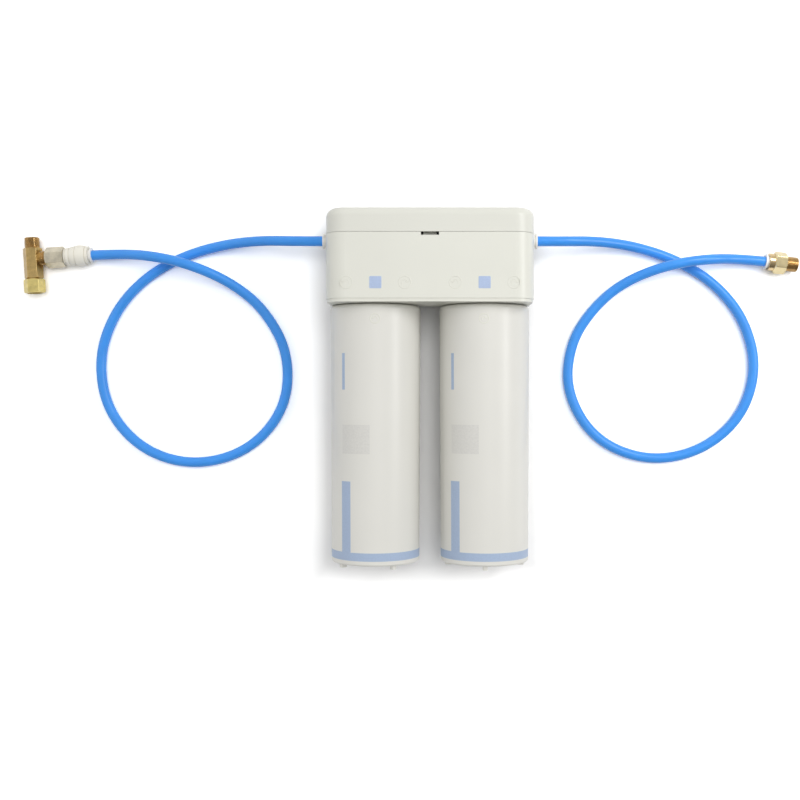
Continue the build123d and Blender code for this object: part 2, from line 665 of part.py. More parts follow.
for side_name, x in (("left", LEFT_X), ("right", RIGHT_X)):
    with BuildPart() as lock_ring:
        ring_low = BOTTOM_Y + RING_END_GAP
        ring_high = RING_TOP_Y - RING_END_GAP
        ring_outer = RING_OUTER_RADIUS - SNUG_GAP
        revolve(rising_section(x, ring_low, ring_high, RING_INNER_RADIUS, ring_outer), axis=upright_axis(x))
        for copy_number in range(LUG_COUNT):
            angle = LEDGE_START + copy_number * FULL_TURN / LUG_COUNT
            add(
                helical_bar(
                    x,
                    angle,
                    LEDGE_SWEEP,
                    LEDGE_BASE_Y,
                    LEDGE_INNER_RADIUS,
                    (RING_INNER_RADIUS + RING_OUTER_RADIUS) / 2,
                    LEDGE_THICKNESS,
                )
            )
    lock_ring.part.label = f"{side_name}_lock_ring"
    export_step(lock_ring.part, f"parts/{side_name}_lock_ring.step")


# Cartridges and what each holds


def nub_places(x, front_angle):
    """Where the nubs stand on a cartridge's end, a quarter turn apart, from an angle off the front."""
    places = []
    for copy_number in range(NUB_COUNT):
        turn = math.radians(front_angle + copy_number * FULL_TURN / NUB_COUNT)
        spot = Vector(math.sin(turn), 0, math.cos(turn))
        places.append((Vector(x, CARTRIDGE_END_Y, CARTRIDGE_AXIS_Z) + spot * NUB_RING_RADIUS, spot))
    return places


for side_name, x, nub_angle in (
    ("left", LEFT_X, LEFT_NUB_ANGLE),
    ("right", RIGHT_X, RIGHT_NUB_ANGLE),
):
    axis = upright_axis(x)
    shell_inner_end = CARTRIDGE_END_RADIUS - CARTRIDGE_WALL
    shell_inner_top = CARTRIDGE_TOP_RADIUS - CARTRIDGE_WALL
    pack_low = END_CAP_Y + PLUG_DEPTH
    pack_high = NECK_FLANGE_Y

    with BuildPart() as shell:
        with BuildSketch(upright(x)) as wall:
            with BuildLine():
                Polyline(
                    (shell_inner_end, END_CAP_Y),
                    (CARTRIDGE_END_RADIUS, END_CAP_Y),
                    (CARTRIDGE_TOP_RADIUS, SHOULDER_Y),
                    (NECK_RADIUS + SNUG_GAP, SHOULDER_Y),
                    (NECK_RADIUS + SNUG_GAP, NECK_FLANGE_TOP_Y),
                    (shell_inner_top, NECK_FLANGE_TOP_Y),
                    close=True,
                )
            make_face()
            shoulder = wall.vertices().group_by(Axis.Y)[-1].sort_by(Axis.X)[-1]
            fillet(shoulder, SHOULDER_ROUND)
        revolve(axis=axis)
    shell.part.label = f"{side_name}_cartridge_shell"
    export_step(shell.part, f"parts/{side_name}_cartridge_shell.step")

    with BuildPart() as end_cap:
        with BuildSketch(upright(x)) as half:
            with BuildLine():
                Polyline(
                    (0, CARTRIDGE_END_Y),
                    (CARTRIDGE_END_RADIUS, CARTRIDGE_END_Y),
                    (CARTRIDGE_END_RADIUS, END_CAP_Y),
                    (shell_inner_end - SNUG_GAP, END_CAP_Y),
                    (shell_inner_end - SNUG_GAP, END_CAP_Y + PLUG_DEPTH),
                    (shell_inner_end - CARTRIDGE_WALL, END_CAP_Y + PLUG_DEPTH),
                    (shell_inner_end - CARTRIDGE_WALL, END_CAP_Y),
                    (PACK_SPIGOT_RADIUS, END_CAP_Y),
                    (PACK_SPIGOT_RADIUS, pack_low),
                    (0, pack_low),
                    close=True,
                )
            make_face()
            rim = half.vertices().group_by(Axis.Y)[0].sort_by(Axis.X)[-1]
            fillet(rim, END_CAP_ROUND)
        revolve(axis=axis)
        for place, spot in nub_places(x, nub_angle):
            with BuildSketch(Plane(origin=tuple(place), x_dir=tuple(spot), z_dir=(0, -1, 0))):
                RectangleRounded(NUB_LENGTH, NUB_WIDTH, NUB_CORNER)
            extrude(amount=NUB_HEIGHT)
    end_cap.part.label = f"{side_name}_end_cap"
    export_step(end_cap.part, f"parts/{side_name}_end_cap.step")

    with BuildPart() as neck:
        grooves = []
        for drop in SEAL_GROOVE_DROPS:
            low = NECK_TOP_Y - drop - SEAL_GROOVE_WIDTH / 2
            high = NECK_TOP_Y - drop + SEAL_GROOVE_WIDTH / 2
            grooves.append((low, high))
        revolve(rising_section(x, NECK_FLANGE_Y, NECK_FLANGE_TOP_Y, 0, NECK_FLANGE_RADIUS), axis=axis)
        revolve(rising_section(x, NECK_FLANGE_TOP_Y, NECK_TOP_Y, 0, NECK_RADIUS), axis=axis)
        revolve(rising_section(x, NECK_TOP_Y, SPIGOT_TOP_Y, 0, SPIGOT_RADIUS), axis=axis)
        for low, high in grooves:
            groove_floor = NECK_RADIUS - SEAL_GROOVE_DEPTH
            groove = rising_section(x, low, high, groove_floor, NECK_RADIUS + OVERRUN)
            revolve(groove, axis=axis, mode=Mode.SUBTRACT)
        for copy_number in range(LUG_COUNT):
            add(
                helical_bar(
                    x,
                    -LUG_SWEEP / 2 + copy_number * FULL_TURN / LUG_COUNT,
                    LUG_SWEEP,
                    LUG_BASE_Y + LUG_FALL,
                    NECK_RADIUS - OVERRUN,
                    LUG_OUTER_RADIUS,
                    LUG_THICKNESS,
                )
            )
        outlet_bore = rising_section(x, NECK_FLANGE_Y, SPIGOT_TOP_Y, 0, SPIGOT_BORE_RADIUS)
        revolve(outlet_bore, axis=axis, mode=Mode.SUBTRACT)
        with BuildSketch(level(x, NECK_FLANGE_Y, CARTRIDGE_AXIS_Z)):
            with PolarLocations(INLET_RING_RADIUS, INLET_HOLE_COUNT):
                Circle(INLET_HOLE_RADIUS)
        extrude(amount=NECK_TOP_Y - NECK_FLANGE_Y, mode=Mode.SUBTRACT)
        with BuildSketch(level(x, SPIGOT_TOP_Y, CARTRIDGE_AXIS_Z)):
            Rectangle(2 * SPIGOT_RADIUS, SPIGOT_SLOT_WIDTH)
            Rectangle(SPIGOT_SLOT_WIDTH, 2 * SPIGOT_RADIUS)
        extrude(amount=-SPIGOT_SLOT_DEPTH, mode=Mode.SUBTRACT)
    neck.part.label = f"{side_name}_neck"
    export_step(neck.part, f"parts/{side_name}_neck.step")

    with BuildPart() as neck_rings:
        for low, high in grooves:
            with BuildSketch(upright(x)):
                with Locations((SEAL_RING_RADIUS, (low + high) / 2)):
                    Circle(SEAL_RING_SECTION - SNUG_GAP)
            revolve(axis=axis)
    neck_rings.part.label = f"{side_name}_neck_rings"
    export_step(neck_rings.part, f"parts/{side_name}_neck_rings.step")

    block_low = pack_low + PACK_CAP_THICKNESS
    block_high = pack_high - PACK_CAP_THICKNESS
    wrap_radius = BLOCK_RADIUS + WRAP_THICKNESS
    rim_radius = wrap_radius + PACK_CAP_RIM_WALL

    with BuildPart() as carbon_block:
        revolve(rising_section(x, block_low, block_high, BLOCK_BORE_RADIUS, BLOCK_RADIUS), axis=axis)
    carbon_block.part.label = f"{side_name}_carbon_block"
    export_step(carbon_block.part, f"parts/{side_name}_carbon_block.step")

    with BuildPart() as prefilter_wrap:
        revolve(rising_section(x, block_low, block_high, BLOCK_RADIUS, wrap_radius), axis=axis)
    prefilter_wrap.part.label = f"{side_name}_prefilter_wrap"
    export_step(prefilter_wrap.part, f"parts/{side_name}_prefilter_wrap.step")

    with BuildPart() as core_tube:
        revolve(rising_section(x, block_low, block_high, CORE_RADIUS - CORE_WALL, CORE_RADIUS), axis=axis)
        row_pitch = (block_high - block_low) / CORE_HOLE_ROWS
        for turn in (0, QUARTER_TURN):
            direction = (math.cos(math.radians(turn)), 0, math.sin(math.radians(turn)))
            middle = (x, (block_low + block_high) / 2, CARTRIDGE_AXIS_Z)
            with BuildSketch(Plane(origin=middle, x_dir=(0, 1, 0), z_dir=direction)):
                with GridLocations(row_pitch, 0, CORE_HOLE_ROWS, 1):
                    Circle(CORE_HOLE_RADIUS)
            extrude(amount=CORE_RADIUS, both=True, mode=Mode.SUBTRACT)
    core_tube.part.label = f"{side_name}_core_tube"
    export_step(core_tube.part, f"parts/{side_name}_core_tube.step")

    with BuildPart() as upper_cap:
        spout = rising_section(x, block_high, pack_high, SPIGOT_BORE_RADIUS, PACK_SPIGOT_RADIUS)
        revolve(spout, axis=axis)
        plate_top = block_high + PACK_CAP_THICKNESS / 2
        revolve(rising_section(x, block_high, plate_top, SPIGOT_BORE_RADIUS, rim_radius), axis=axis)
        rim = rising_section(
            x, block_high - PACK_CAP_RIM_HEIGHT, block_high, wrap_radius + SNUG_GAP, rim_radius
        )
        revolve(rim, axis=axis)
    upper_cap.part.label = f"{side_name}_upper_pack_cap"
    export_step(upper_cap.part, f"parts/{side_name}_upper_pack_cap.step")

    with BuildPart() as lower_cap:
        revolve(rising_section(x, pack_low, block_low, 0, PACK_SPIGOT_RADIUS), axis=axis)
        plate_low = block_low - PACK_CAP_THICKNESS / 2
        revolve(rising_section(x, plate_low, block_low, 0, rim_radius), axis=axis)
        rim = rising_section(
            x, block_low, block_low + PACK_CAP_RIM_HEIGHT, wrap_radius + SNUG_GAP, rim_radius
        )
        revolve(rim, axis=axis)
    lower_cap.part.label = f"{side_name}_lower_pack_cap"
    export_step(lower_cap.part, f"parts/{side_name}_lower_pack_cap.step")

    # Shut-off valve, held open by the neck's spigot
    stem_foot = SPIGOT_TOP_Y + MOVING_GAP
    seal_low = SEAT_Y + LOCK_DROP + MOVING_GAP
    disc_low = seal_low + POPPET_SEAL_THICKNESS
    disc_high = disc_low + POPPET_DISC_THICKNESS

    with BuildPart() as poppet:
        revolve(rising_section(x, stem_foot, disc_low, 0, POPPET_STEM_RADIUS), axis=axis)
        revolve(rising_section(x, disc_low, disc_high, 0, POPPET_DISC_RADIUS), axis=axis)
        guide = rising_section(x, disc_high, disc_high + POPPET_GUIDE_HEIGHT, 0, POPPET_GUIDE_RADIUS)
        revolve(guide, axis=axis)
    poppet.part.label = f"{side_name}_poppet"
    export_step(poppet.part, f"parts/{side_name}_poppet.step")

    with BuildPart() as poppet_seal:
        revolve(rising_section(x, seal_low, disc_low, POPPET_STEM_RADIUS, POPPET_DISC_RADIUS), axis=axis)
    poppet_seal.part.label = f"{side_name}_poppet_seal"
    export_step(poppet_seal.part, f"parts/{side_name}_poppet_seal.step")

    spring_low = disc_high + SPRING_WIRE_RADIUS + SNUG_GAP
    spring_high = CHAMBER_TOP_Y - SPRING_WIRE_RADIUS - SNUG_GAP
    spring_height = spring_high - spring_low
    with BuildPart() as spring:
        coil = Edge.make_helix(
            spring_height / SPRING_TURNS,
            spring_height,
            SPRING_RADIUS,
            center=(x, spring_low, CARTRIDGE_AXIS_Z),
            normal=(0, 1, 0),
        )
        with BuildSketch(Plane(origin=coil.position_at(0), z_dir=coil.tangent_at(0))):
            Circle(SPRING_WIRE_RADIUS)
        sweep(path=coil, is_frenet=True)
    spring.part.label = f"{side_name}_valve_spring"
    export_step(spring.part, f"parts/{side_name}_valve_spring.step")


# Push-fit ports: each is a point on its collet's outer face and the way in
left_port = (Vector(-PORT_REACH, PORT_Y, PORT_Z), Vector(1, 0, 0))
right_port = (Vector(PORT_REACH, PORT_Y, PORT_Z), Vector(-1, 0, 0))
connector_port = (
    Vector(LEFT_FACE_X, LEFT_FACE_Y, LEFT_FITTING_Z),
    heading(LEFT_FITTING_TURN) * -1,
)
adapter_port = (
    Vector(RIGHT_FACE_X, RIGHT_FACE_Y, RIGHT_FITTING_Z),
    heading(RIGHT_FITTING_TURN),
)


def port_axis(port):
    """The axis of a port's tube."""
    return Axis(tuple(port[0]), tuple(port[1]))


def port_ring(port, start, end, inner, outer):
    """The half section of a ring round a port's axis, between two depths."""
    return ring_section(along(*port), start, end, inner, outer)


def port_face(port, depth):
    """The plane square to a port's axis at a depth."""
    return across(port[0] + port[1] * depth, port[1])


for name, port in (
    ("left_port_collet", left_port),
    ("right_port_collet", right_port),
    ("connector_collet", connector_port),
    ("adapter_collet", adapter_port),
):
    with BuildPart() as collet:
        bore = TUBE_RADIUS + RUNNING_GAP
        profile = turned(
            along(*port),
            [
                (0, bore),
                (0, COLLET_FLANGE_RADIUS),
                (COLLET_FLANGE, COLLET_FLANGE_RADIUS),
                (COLLET_FLANGE, COLLET_SLEEVE_RADIUS),
                (COLLET_JAW_START, COLLET_SLEEVE_RADIUS),
                (COLLET_JAW_START, COLLET_JAW_RADIUS),
                (COLLET_JAW_END, COLLET_SLEEVE_RADIUS),
                (COLLET_JAW_END, bore),
            ],
        )
        revolve(profile, axis=port_axis(port))
        with BuildSketch(port_face(port, COLLET_SLOT_START)):
            for slot_number in range(COLLET_SLOT_PAIRS):
                turn = slot_number * FULL_TURN / 2 / COLLET_SLOT_PAIRS
                Rectangle(2 * COLLET_FLANGE_RADIUS, COLLET_SLOT_WIDTH, rotation=turn)
        extrude(amount=COLLET_JAW_END, mode=Mode.SUBTRACT)
    collet.part.label = name
    export_step(collet.part, f"parts/{name}.step")

for name, ports in (
    ("port_seal_rings", (left_port, right_port)),
    ("connector_seal_ring", (connector_port,)),
    ("adapter_seal_ring", (adapter_port,)),
):
    with BuildPart() as seal_rings:
        for port in ports:
            with BuildSketch(along(*port)):
                with Locations(((PORT_RING_START + CAVITY_END) / 2, PORT_RING_RADIUS)):
                    Circle(PORT_RING_SECTION - SNUG_GAP)
            revolve(axis=port_axis(port))
    seal_rings.part.label = name
    export_step(seal_rings.part, f"parts/{name}.step")

with BuildPart() as port_collars:
    for port in (left_port, right_port):
        collar_radius = PORT_COLLAR_RADIUS - SNUG_GAP
        collar = port_ring(port, PORT_MOUTH, COLLAR_END, COLLAR_BORE_RADIUS, collar_radius)
        revolve(collar, axis=port_axis(port))
port_collars.part.label = "port_collars"
export_step(port_collars.part, "parts/port_collars.step")

crease_floor = CONNECTOR_MOUTH_RADIUS - CONNECTOR_CREASE_DEPTH
crease_end = CONNECTOR_COLLAR_CREASE + CONNECTOR_CREASE_WIDTH
for name, port, outside in (
    (
        "connector_collar",
        connector_port,
        [
            (PORT_MOUTH, CONNECTOR_MOUTH_RADIUS),
            (CONNECTOR_COLLAR_CREASE, CONNECTOR_MOUTH_RADIUS),
            (CONNECTOR_COLLAR_CREASE, crease_floor),
            (crease_end, crease_floor),
            (crease_end, (CONNECTOR_MOUTH_RADIUS + CONNECTOR_SHOULDER_RADIUS) / 2),
            (COLLAR_END, CONNECTOR_SHOULDER_RADIUS),
        ],
    ),
    (
        "adapter_collar",
        adapter_port,
        [(PORT_MOUTH, ADAPTER_COLLAR_RADIUS), (COLLAR_END, ADAPTER_COLLAR_RADIUS)],
    ),
):
    with BuildPart() as collar:
        profile = turned(
            along(*port),
            [
                (PORT_MOUTH, COLLAR_BORE_RADIUS),
                *outside,
                (COLLAR_END, CAVITY_RADIUS - SNUG_GAP),
                (COLLAR_END + COLLAR_TONGUE, CAVITY_RADIUS - SNUG_GAP),
                (COLLAR_END + COLLAR_TONGUE, COLLAR_BORE_RADIUS),
            ],
        )
        revolve(profile, axis=port_axis(port))
    collar.part.label = name
    export_step(collar.part, f"parts/{name}.step")


# Left fitting


def hex_prism(plane, across_flats, length, turn):
    """A hexagonal bar from a plane along its normal, its corners chamfered at both ends."""
    face_radius = FACE_CIRCLE_SHARE * across_flats / 2
    corner = across_flats / math.sqrt(3)
    with BuildPart() as bar:
        with BuildSketch(plane):
            RegularPolygon(across_flats / 2, 6, major_radius=False, rotation=turn)
        extrude(amount=length)
        rise = (corner - face_radius) * math.tan(math.radians(HEXAGON_CHAMFER_ANGLE))
        cone = turned(
            Plane(origin=plane.origin, x_dir=plane.z_dir, z_dir=plane.y_dir),
            [
                (0, 0),
                (0, face_radius),
                (rise, corner),
                (length - rise, corner),
                (length, face_radius),
                (length, 0),
            ],
        )
        revolve(cone, axis=Axis(plane.origin, plane.z_dir), mode=Mode.INTERSECT)
    return bar.part


with BuildPart() as connector_body:
    # Four crowned rings, each with a crease behind it but the last
    rings = (
        (COLLAR_END, CONNECTOR_BARREL_END, CONNECTOR_SHOULDER_RADIUS, CONNECTOR_BARREL_RADIUS),
        (CONNECTOR_BARREL_END, CONNECTOR_CONE_END, CONNECTOR_CONE_RADIUS, CONNECTOR_CONE_END_RADIUS),
        (CONNECTOR_CONE_END, CONNECTOR_WAIST_END, CONNECTOR_WAIST_RADIUS, CONNECTOR_WAIST_RADIUS),
        (CONNECTOR_WAIST_END, CONNECTOR_END, CONNECTOR_TIP_RADIUS, CONNECTOR_TIP_RADIUS),
    )
    with BuildSketch(along(*connector_port)):
        with BuildLine():
            Polyline(
                (CONNECTOR_END, CONNECTOR_TIP_RADIUS),
                (CONNECTOR_END, STUB_RADIUS),
                (STUB_FLANGE_START, STUB_RADIUS),
                (STUB_FLANGE_START, STUB_FLANGE_RADIUS),
                (STUB_END, STUB_FLANGE_RADIUS),
                (STUB_END, TUBE_BORE_RADIUS),
                (TUBE_DEPTH + TUBE_STOP_GAP, TUBE_BORE_RADIUS),
                (TUBE_DEPTH + TUBE_STOP_GAP, TUBE_SEAT_RADIUS),
                (CAVITY_END, TUBE_SEAT_RADIUS),
                (CAVITY_END, CAVITY_RADIUS),
                (COLLAR_END, CAVITY_RADIUS),
                (COLLAR_END, CONNECTOR_SHOULDER_RADIUS),
            )
            for ring_number, (start, end, first, last) in enumerate(rings):
                if ring_number:
                    start += CONNECTOR_CREASE_WIDTH
                crown = (first + last) / 2 + CONNECTOR_CROWN
                ThreePointArc((start, first), ((start + end) / 2, crown), (end, last))
            for (_, end, _, last), (_, _, first, _) in zip(rings, rings[1:]):
                floor_radius = first - CONNECTOR_CREASE_DEPTH
                Polyline(
                    (end, last),
                    (end, floor_radius),
                    (end + CONNECTOR_CREASE_WIDTH, floor_radius),
                    (end + CONNECTOR_CREASE_WIDTH, first),
                )
        make_face()
    revolve(axis=port_axis(connector_port))
connector_body.part.label = "connector_body"
export_step(connector_body.part, "parts/connector_body.step")

with BuildPart() as coupling_nut:
    start_plane = port_face(connector_port, NUT_START)
    add(hex_prism(start_plane, NUT_ACROSS_FLATS, COUPLING_NUT_LENGTH, 0))
    for radius, low, high in (
        (NUT_LIP_BORE_RADIUS, 0, NUT_LIP_THICKNESS),
        (FEMALE_THREAD_RADIUS, NUT_LIP_THICKNESS, COUPLING_NUT_LENGTH),
    ):
        with BuildSketch(start_plane.offset(low)):
            Circle(radius)
        extrude(amount=high - low, mode=Mode.SUBTRACT)
coupling_nut.part.label = "coupling_nut"
export_step(coupling_nut.part, "parts/coupling_nut.step")

with BuildPart() as coupling_washer:
    washer = port_ring(connector_port, STUB_END, BRANCH_END, WASHER_BORE_RADIUS, STUB_FLANGE_RADIUS)
    revolve(washer, axis=port_axis(connector_port))
coupling_washer.part.label = "coupling_washer"
export_step(coupling_washer.part, "parts/coupling_washer.step")

tee_centre = connector_port[0] + connector_port[1] * TEE_STATION
tee_up = heading(LEFT_FITTING_TURN + QUARTER_TURN)
tee_down = tee_up * -1

with BuildPart() as feed_tee:
    body_top = across(tee_centre + tee_up * TEE_BODY_ABOVE, tee_down)
    body_length = TEE_BODY_ABOVE + TEE_BODY_BELOW
    add(hex_prism(body_top, TEE_ACROSS_FLATS, body_length, TEE_BODY_TURN))
    with BuildSketch(across(tee_centre, connector_port[1] * -1)):
        Circle(BRANCH_THREAD_RADIUS)
    extrude(amount=BRANCH_LENGTH)
    run = along(tee_centre, tee_down)
    run_axis = Axis(tuple(tee_centre), tuple(tee_down))
    thread_end = -TEE_BODY_ABOVE - TEE_THREAD_LENGTH
    revolve(thread_section(run, -TEE_BODY_ABOVE, thread_end), axis=run_axis)
    for start, end, radius in (
        (TEE_BODY_BELOW, TAIL_END, STUB_RADIUS),
        (TAIL_FLANGE_START, TAIL_END, TEE_TAIL_FLANGE_RADIUS),
    ):
        revolve(ring_section(run, start, end, 0, radius), axis=run_axis)
    waterway = ring_section(run, thread_end, TAIL_END, 0, TEE_BORE_RADIUS)
    revolve(waterway, axis=run_axis, mode=Mode.SUBTRACT)
    with BuildSketch(across(tee_centre, connector_port[1] * -1)):
        Circle(TEE_BORE_RADIUS)
    extrude(amount=BRANCH_LENGTH, mode=Mode.SUBTRACT)
feed_tee.part.label = "feed_tee"
export_step(feed_tee.part, "parts/feed_tee.step")

with BuildPart() as swivel_nut:
    start_plane = across(tee_centre + tee_down * SWIVEL_START, tee_down)
    add(hex_prism(start_plane, NUT_ACROSS_FLATS, SWIVEL_NUT_LENGTH, SWIVEL_NUT_TURN))
    for radius, low, high in (
        (NUT_LIP_BORE_RADIUS, SWIVEL_START, SWIVEL_START + NUT_LIP_THICKNESS),
        (SWIVEL_CHAMBER_RADIUS, SWIVEL_START + NUT_LIP_THICKNESS, SWIVEL_WASHER_END),
        (FEMALE_THREAD_RADIUS, SWIVEL_WASHER_END, SWIVEL_END),
    ):
        with BuildSketch(across(tee_centre + tee_down * low, tee_down)):
            Circle(radius)
        extrude(amount=high - low, mode=Mode.SUBTRACT)
swivel_nut.part.label = "swivel_nut"
export_step(swivel_nut.part, "parts/swivel_nut.step")

with BuildPart() as swivel_washer:
    washer_radius = TEE_TAIL_FLANGE_RADIUS
    washer = ring_section(run, TAIL_END, SWIVEL_WASHER_END, WASHER_BORE_RADIUS, washer_radius)
    revolve(washer, axis=run_axis)
swivel_washer.part.label = "swivel_washer"
export_step(swivel_washer.part, "parts/swivel_washer.step")


# Right fitting

with BuildPart() as adapter_body:
    hex_start = port_face(adapter_port, COLLAR_END)
    add(hex_prism(hex_start, ADAPTER_ACROSS_FLATS, ADAPTER_HEX_LENGTH, 0))
    hex_end = COLLAR_END + ADAPTER_HEX_LENGTH
    neck_end = hex_end + ADAPTER_NECK_LENGTH
    adapter_end = neck_end + ADAPTER_THREAD_LENGTH
    thread_relief = port_ring(adapter_port, hex_end, neck_end, 0, ADAPTER_NECK_RADIUS)
    revolve(thread_relief, axis=port_axis(adapter_port))
    thread = thread_section(along(*adapter_port), neck_end, adapter_end)
    revolve(thread, axis=port_axis(adapter_port))
    for radius, low, high in (
        (CAVITY_RADIUS, COLLAR_END, CAVITY_END),
        (TUBE_SEAT_RADIUS, CAVITY_END, TUBE_DEPTH + TUBE_STOP_GAP),
        (TUBE_BORE_RADIUS, TUBE_DEPTH + TUBE_STOP_GAP, adapter_end),
    ):
        with BuildSketch(port_face(adapter_port, low)):
            Circle(radius)
        extrude(amount=high - low, mode=Mode.SUBTRACT)
adapter_body.part.label = "adapter_body"
export_step(adapter_body.part, "parts/adapter_body.step")


# Tubes


def corner_radii(points):
    """The radius at each corner of a route: as large as its two runs allow."""
    radii = []
    for before, corner, after in zip(points, points[1:], points[2:]):
        arriving = corner - before
        leaving = after - corner
        turn = math.radians(arriving.get_angle(leaving))
        radii.append(CORNER_SHARE * min(arriving.length, leaving.length) / math.tan(turn / 2))
    return radii


for name, header_port, route, fitting_port in (
    ("left_tube", left_port, LEFT_ROUTE, connector_port),
    ("right_tube", right_port, RIGHT_ROUTE, adapter_port),
):
    points = [
        header_port[0] + header_port[1] * TUBE_DEPTH,
        header_port[0] - header_port[1] * STRAIGHT_OUT,
        *[Vector(*point) for point in route],
        fitting_port[0] - fitting_port[1] * STRAIGHT_IN,
        fitting_port[0] + fitting_port[1] * TUBE_DEPTH,
    ]
    radii = corner_radii(points)
    with BuildPart() as tube:
        with BuildLine() as path:
            FilletPolyline(*points, radius=radii)
        with BuildSketch(Plane(origin=tuple(points[0]), z_dir=tuple(header_port[1] * -1))):
            Circle(TUBE_RADIUS)
            Circle(TUBE_BORE_RADIUS, mode=Mode.SUBTRACT)
        sweep()
    tube.part.label = name
    export_step(tube.part, f"parts/{name}.step")
    section = math.pi * (TUBE_RADIUS**2 - TUBE_BORE_RADIUS**2)
    length = path.wire().length
    share = tube.part.volume / (section * length)
    print(name, "radii", [round(radius) for radius in radii])
    print(name, "runs", [round((after - before).length, 1) for before, after in zip(points, points[1:])])
    print(name, "length", round(length, 1), "volume over section x length", round(share, 4))
    print(name, "points", [tuple(round(value, 2) for value in tuple(point)) for point in points])
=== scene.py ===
import json
import math

import bmesh
import bpy
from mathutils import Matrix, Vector


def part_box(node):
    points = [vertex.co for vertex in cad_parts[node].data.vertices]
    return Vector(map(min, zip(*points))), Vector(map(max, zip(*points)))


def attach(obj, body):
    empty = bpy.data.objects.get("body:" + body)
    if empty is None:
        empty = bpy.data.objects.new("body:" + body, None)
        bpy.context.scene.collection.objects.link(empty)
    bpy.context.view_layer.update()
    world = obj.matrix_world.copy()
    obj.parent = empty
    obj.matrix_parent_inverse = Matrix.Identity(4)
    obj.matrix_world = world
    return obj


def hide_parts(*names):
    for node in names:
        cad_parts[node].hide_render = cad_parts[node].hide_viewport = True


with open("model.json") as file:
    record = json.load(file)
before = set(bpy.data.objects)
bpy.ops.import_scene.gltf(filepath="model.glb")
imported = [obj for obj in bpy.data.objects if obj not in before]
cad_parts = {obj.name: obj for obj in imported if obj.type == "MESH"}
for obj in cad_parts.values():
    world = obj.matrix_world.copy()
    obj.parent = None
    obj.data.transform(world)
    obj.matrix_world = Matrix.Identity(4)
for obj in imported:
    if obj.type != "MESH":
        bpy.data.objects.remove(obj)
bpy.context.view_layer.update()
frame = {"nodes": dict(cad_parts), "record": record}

MM = 0.001
SIDES = {"left": -1, "right": 1}

# Camera: straight down over the filter's middle, from the height that gives the photograph's perspective
CAMERA_PLACE = (0.0, -0.0001, 1.035)
CAMERA_LENS = 47.97
CAMERA_SENSOR = 36.0
CAMERA_SHIFT = (-0.0375, -0.0125)
CAMERA_NEAR = 0.01

# Light: softboxes (place, size, power) and broad lights (slope, strength, spread in degrees)
SOFTBOXES = {
    "side_softbox": ((1.25, 0.15, 0.95), (0.5, 0.3), 3.6),
    "top_softbox": ((0.72, 0.52, 0.90), (0.40, 0.24), 3.2),
}
BROAD_LIGHTS = {
    "overhead": ((0.12, 0.14, 1.0), 1.1, 32.0),
    "fill": ((-1.7, 0.1, 1.0), 0.42, 70.0),
}

# The studio's level and how it changes with direction, as a rough surface and as gloss see it
SOFT_SKY = (0.33, (-0.06, 0.16, 0.0))
GLOSS_SKY = (0.58, (-0.30, 0.38, 0.0))
SKY_LEAST = 0.08

# Floor: its white in the light, and the level that the camera sees, close to the object and far from it
FLOOR_WHITE = 0.94
FLOOR_SEEN = (1.0, 1.45)

# The close part's half sides, where the floor is seen darker as painted shade around the object, the fade
# past it, the floor's drop below the object and its half side
FLOOR_NEAR = (0.100, 0.170)
FLOOR_FADE = 0.020
FLOOR_DROP = 0.3 * MM
FLOOR_REACH = 6.0

# Free tubes at their real size, and the steps of their meshes round and along them
TUBE_RADIUS = 4.765 * MM
TUBE_ROUND_STEPS = 10
TUBE_RUN_STEPS = 14

# Each tube's route, from inside the header's port to inside the fitting's port
LEFT_ROUTE = [
    (-0.0815, 0.1395, 0.034),
    (-0.1205, 0.1395, 0.034),
    (-0.162, 0.142, 0.022),
    (-0.2, 0.1395, 0.0085),
    (-0.236, 0.13, 0.0048),
    (-0.273, 0.1105, 0.0048),
    (-0.304, 0.077, 0.0048),
    (-0.3205, 0.031, 0.0048),
    (-0.312, -0.021, 0.0048),
    (-0.276, -0.06, 0.0048),
    (-0.225, -0.0735, 0.0048),
    (-0.173, -0.058, 0.0048),
    (-0.139, -0.017, 0.0048),
    (-0.1365, 0.035, 0.0048),
    (-0.159, 0.0765, 0.0048),
    (-0.189, 0.102, 0.009),
    (-0.226, 0.1185, 0.0245),
    (-0.2645, 0.1275, 0.0245),
    (-0.30444, 0.13072, 0.0103),
    (-0.34336, 0.12834, 0.0103),
]
RIGHT_ROUTE = [
    (0.0815, 0.1395, 0.034),
    (0.1205, 0.1395, 0.034),
    (0.162, 0.1413, 0.022),
    (0.2, 0.1375, 0.0085),
    (0.238, 0.1255, 0.0048),
    (0.275, 0.1035, 0.0048),
    (0.3035, 0.069, 0.0048),
    (0.316, 0.0215, 0.0048),
    (0.301, -0.027, 0.0048),
    (0.2605, -0.0603, 0.0048),
    (0.208, -0.069, 0.0048),
    (0.1575, -0.0475, 0.0048),
    (0.131, -0.0005, 0.0048),
    (0.136, 0.046, 0.0048),
    (0.158, 0.0795, 0.0048),
    (0.186, 0.1035, 0.008),
    (0.222, 0.1175, 0.0245),
    (0.262, 0.1243, 0.0245),
    (0.30213, 0.12596, 0.00927),
    (0.34088, 0.12155, 0.00927),
]


# Shader nodes


def new_material(name):
    """A new node material, its tree and its Principled shader."""
    material = bpy.data.materials.new(name)
    material.use_nodes = True
    tree = material.node_tree
    return material, tree, tree.nodes["Principled BSDF"]


def object_coordinates(tree, stretch=(1, 1, 1)):
    """Object coordinates, in metres, stretched along the axes."""
    place = tree.nodes.new("ShaderNodeTexCoord")
    mapping = tree.nodes.new("ShaderNodeMapping")
    mapping.inputs["Scale"].default_value = stretch
    tree.links.new(place.outputs["Object"], mapping.inputs["Vector"])
    return mapping.outputs["Vector"]


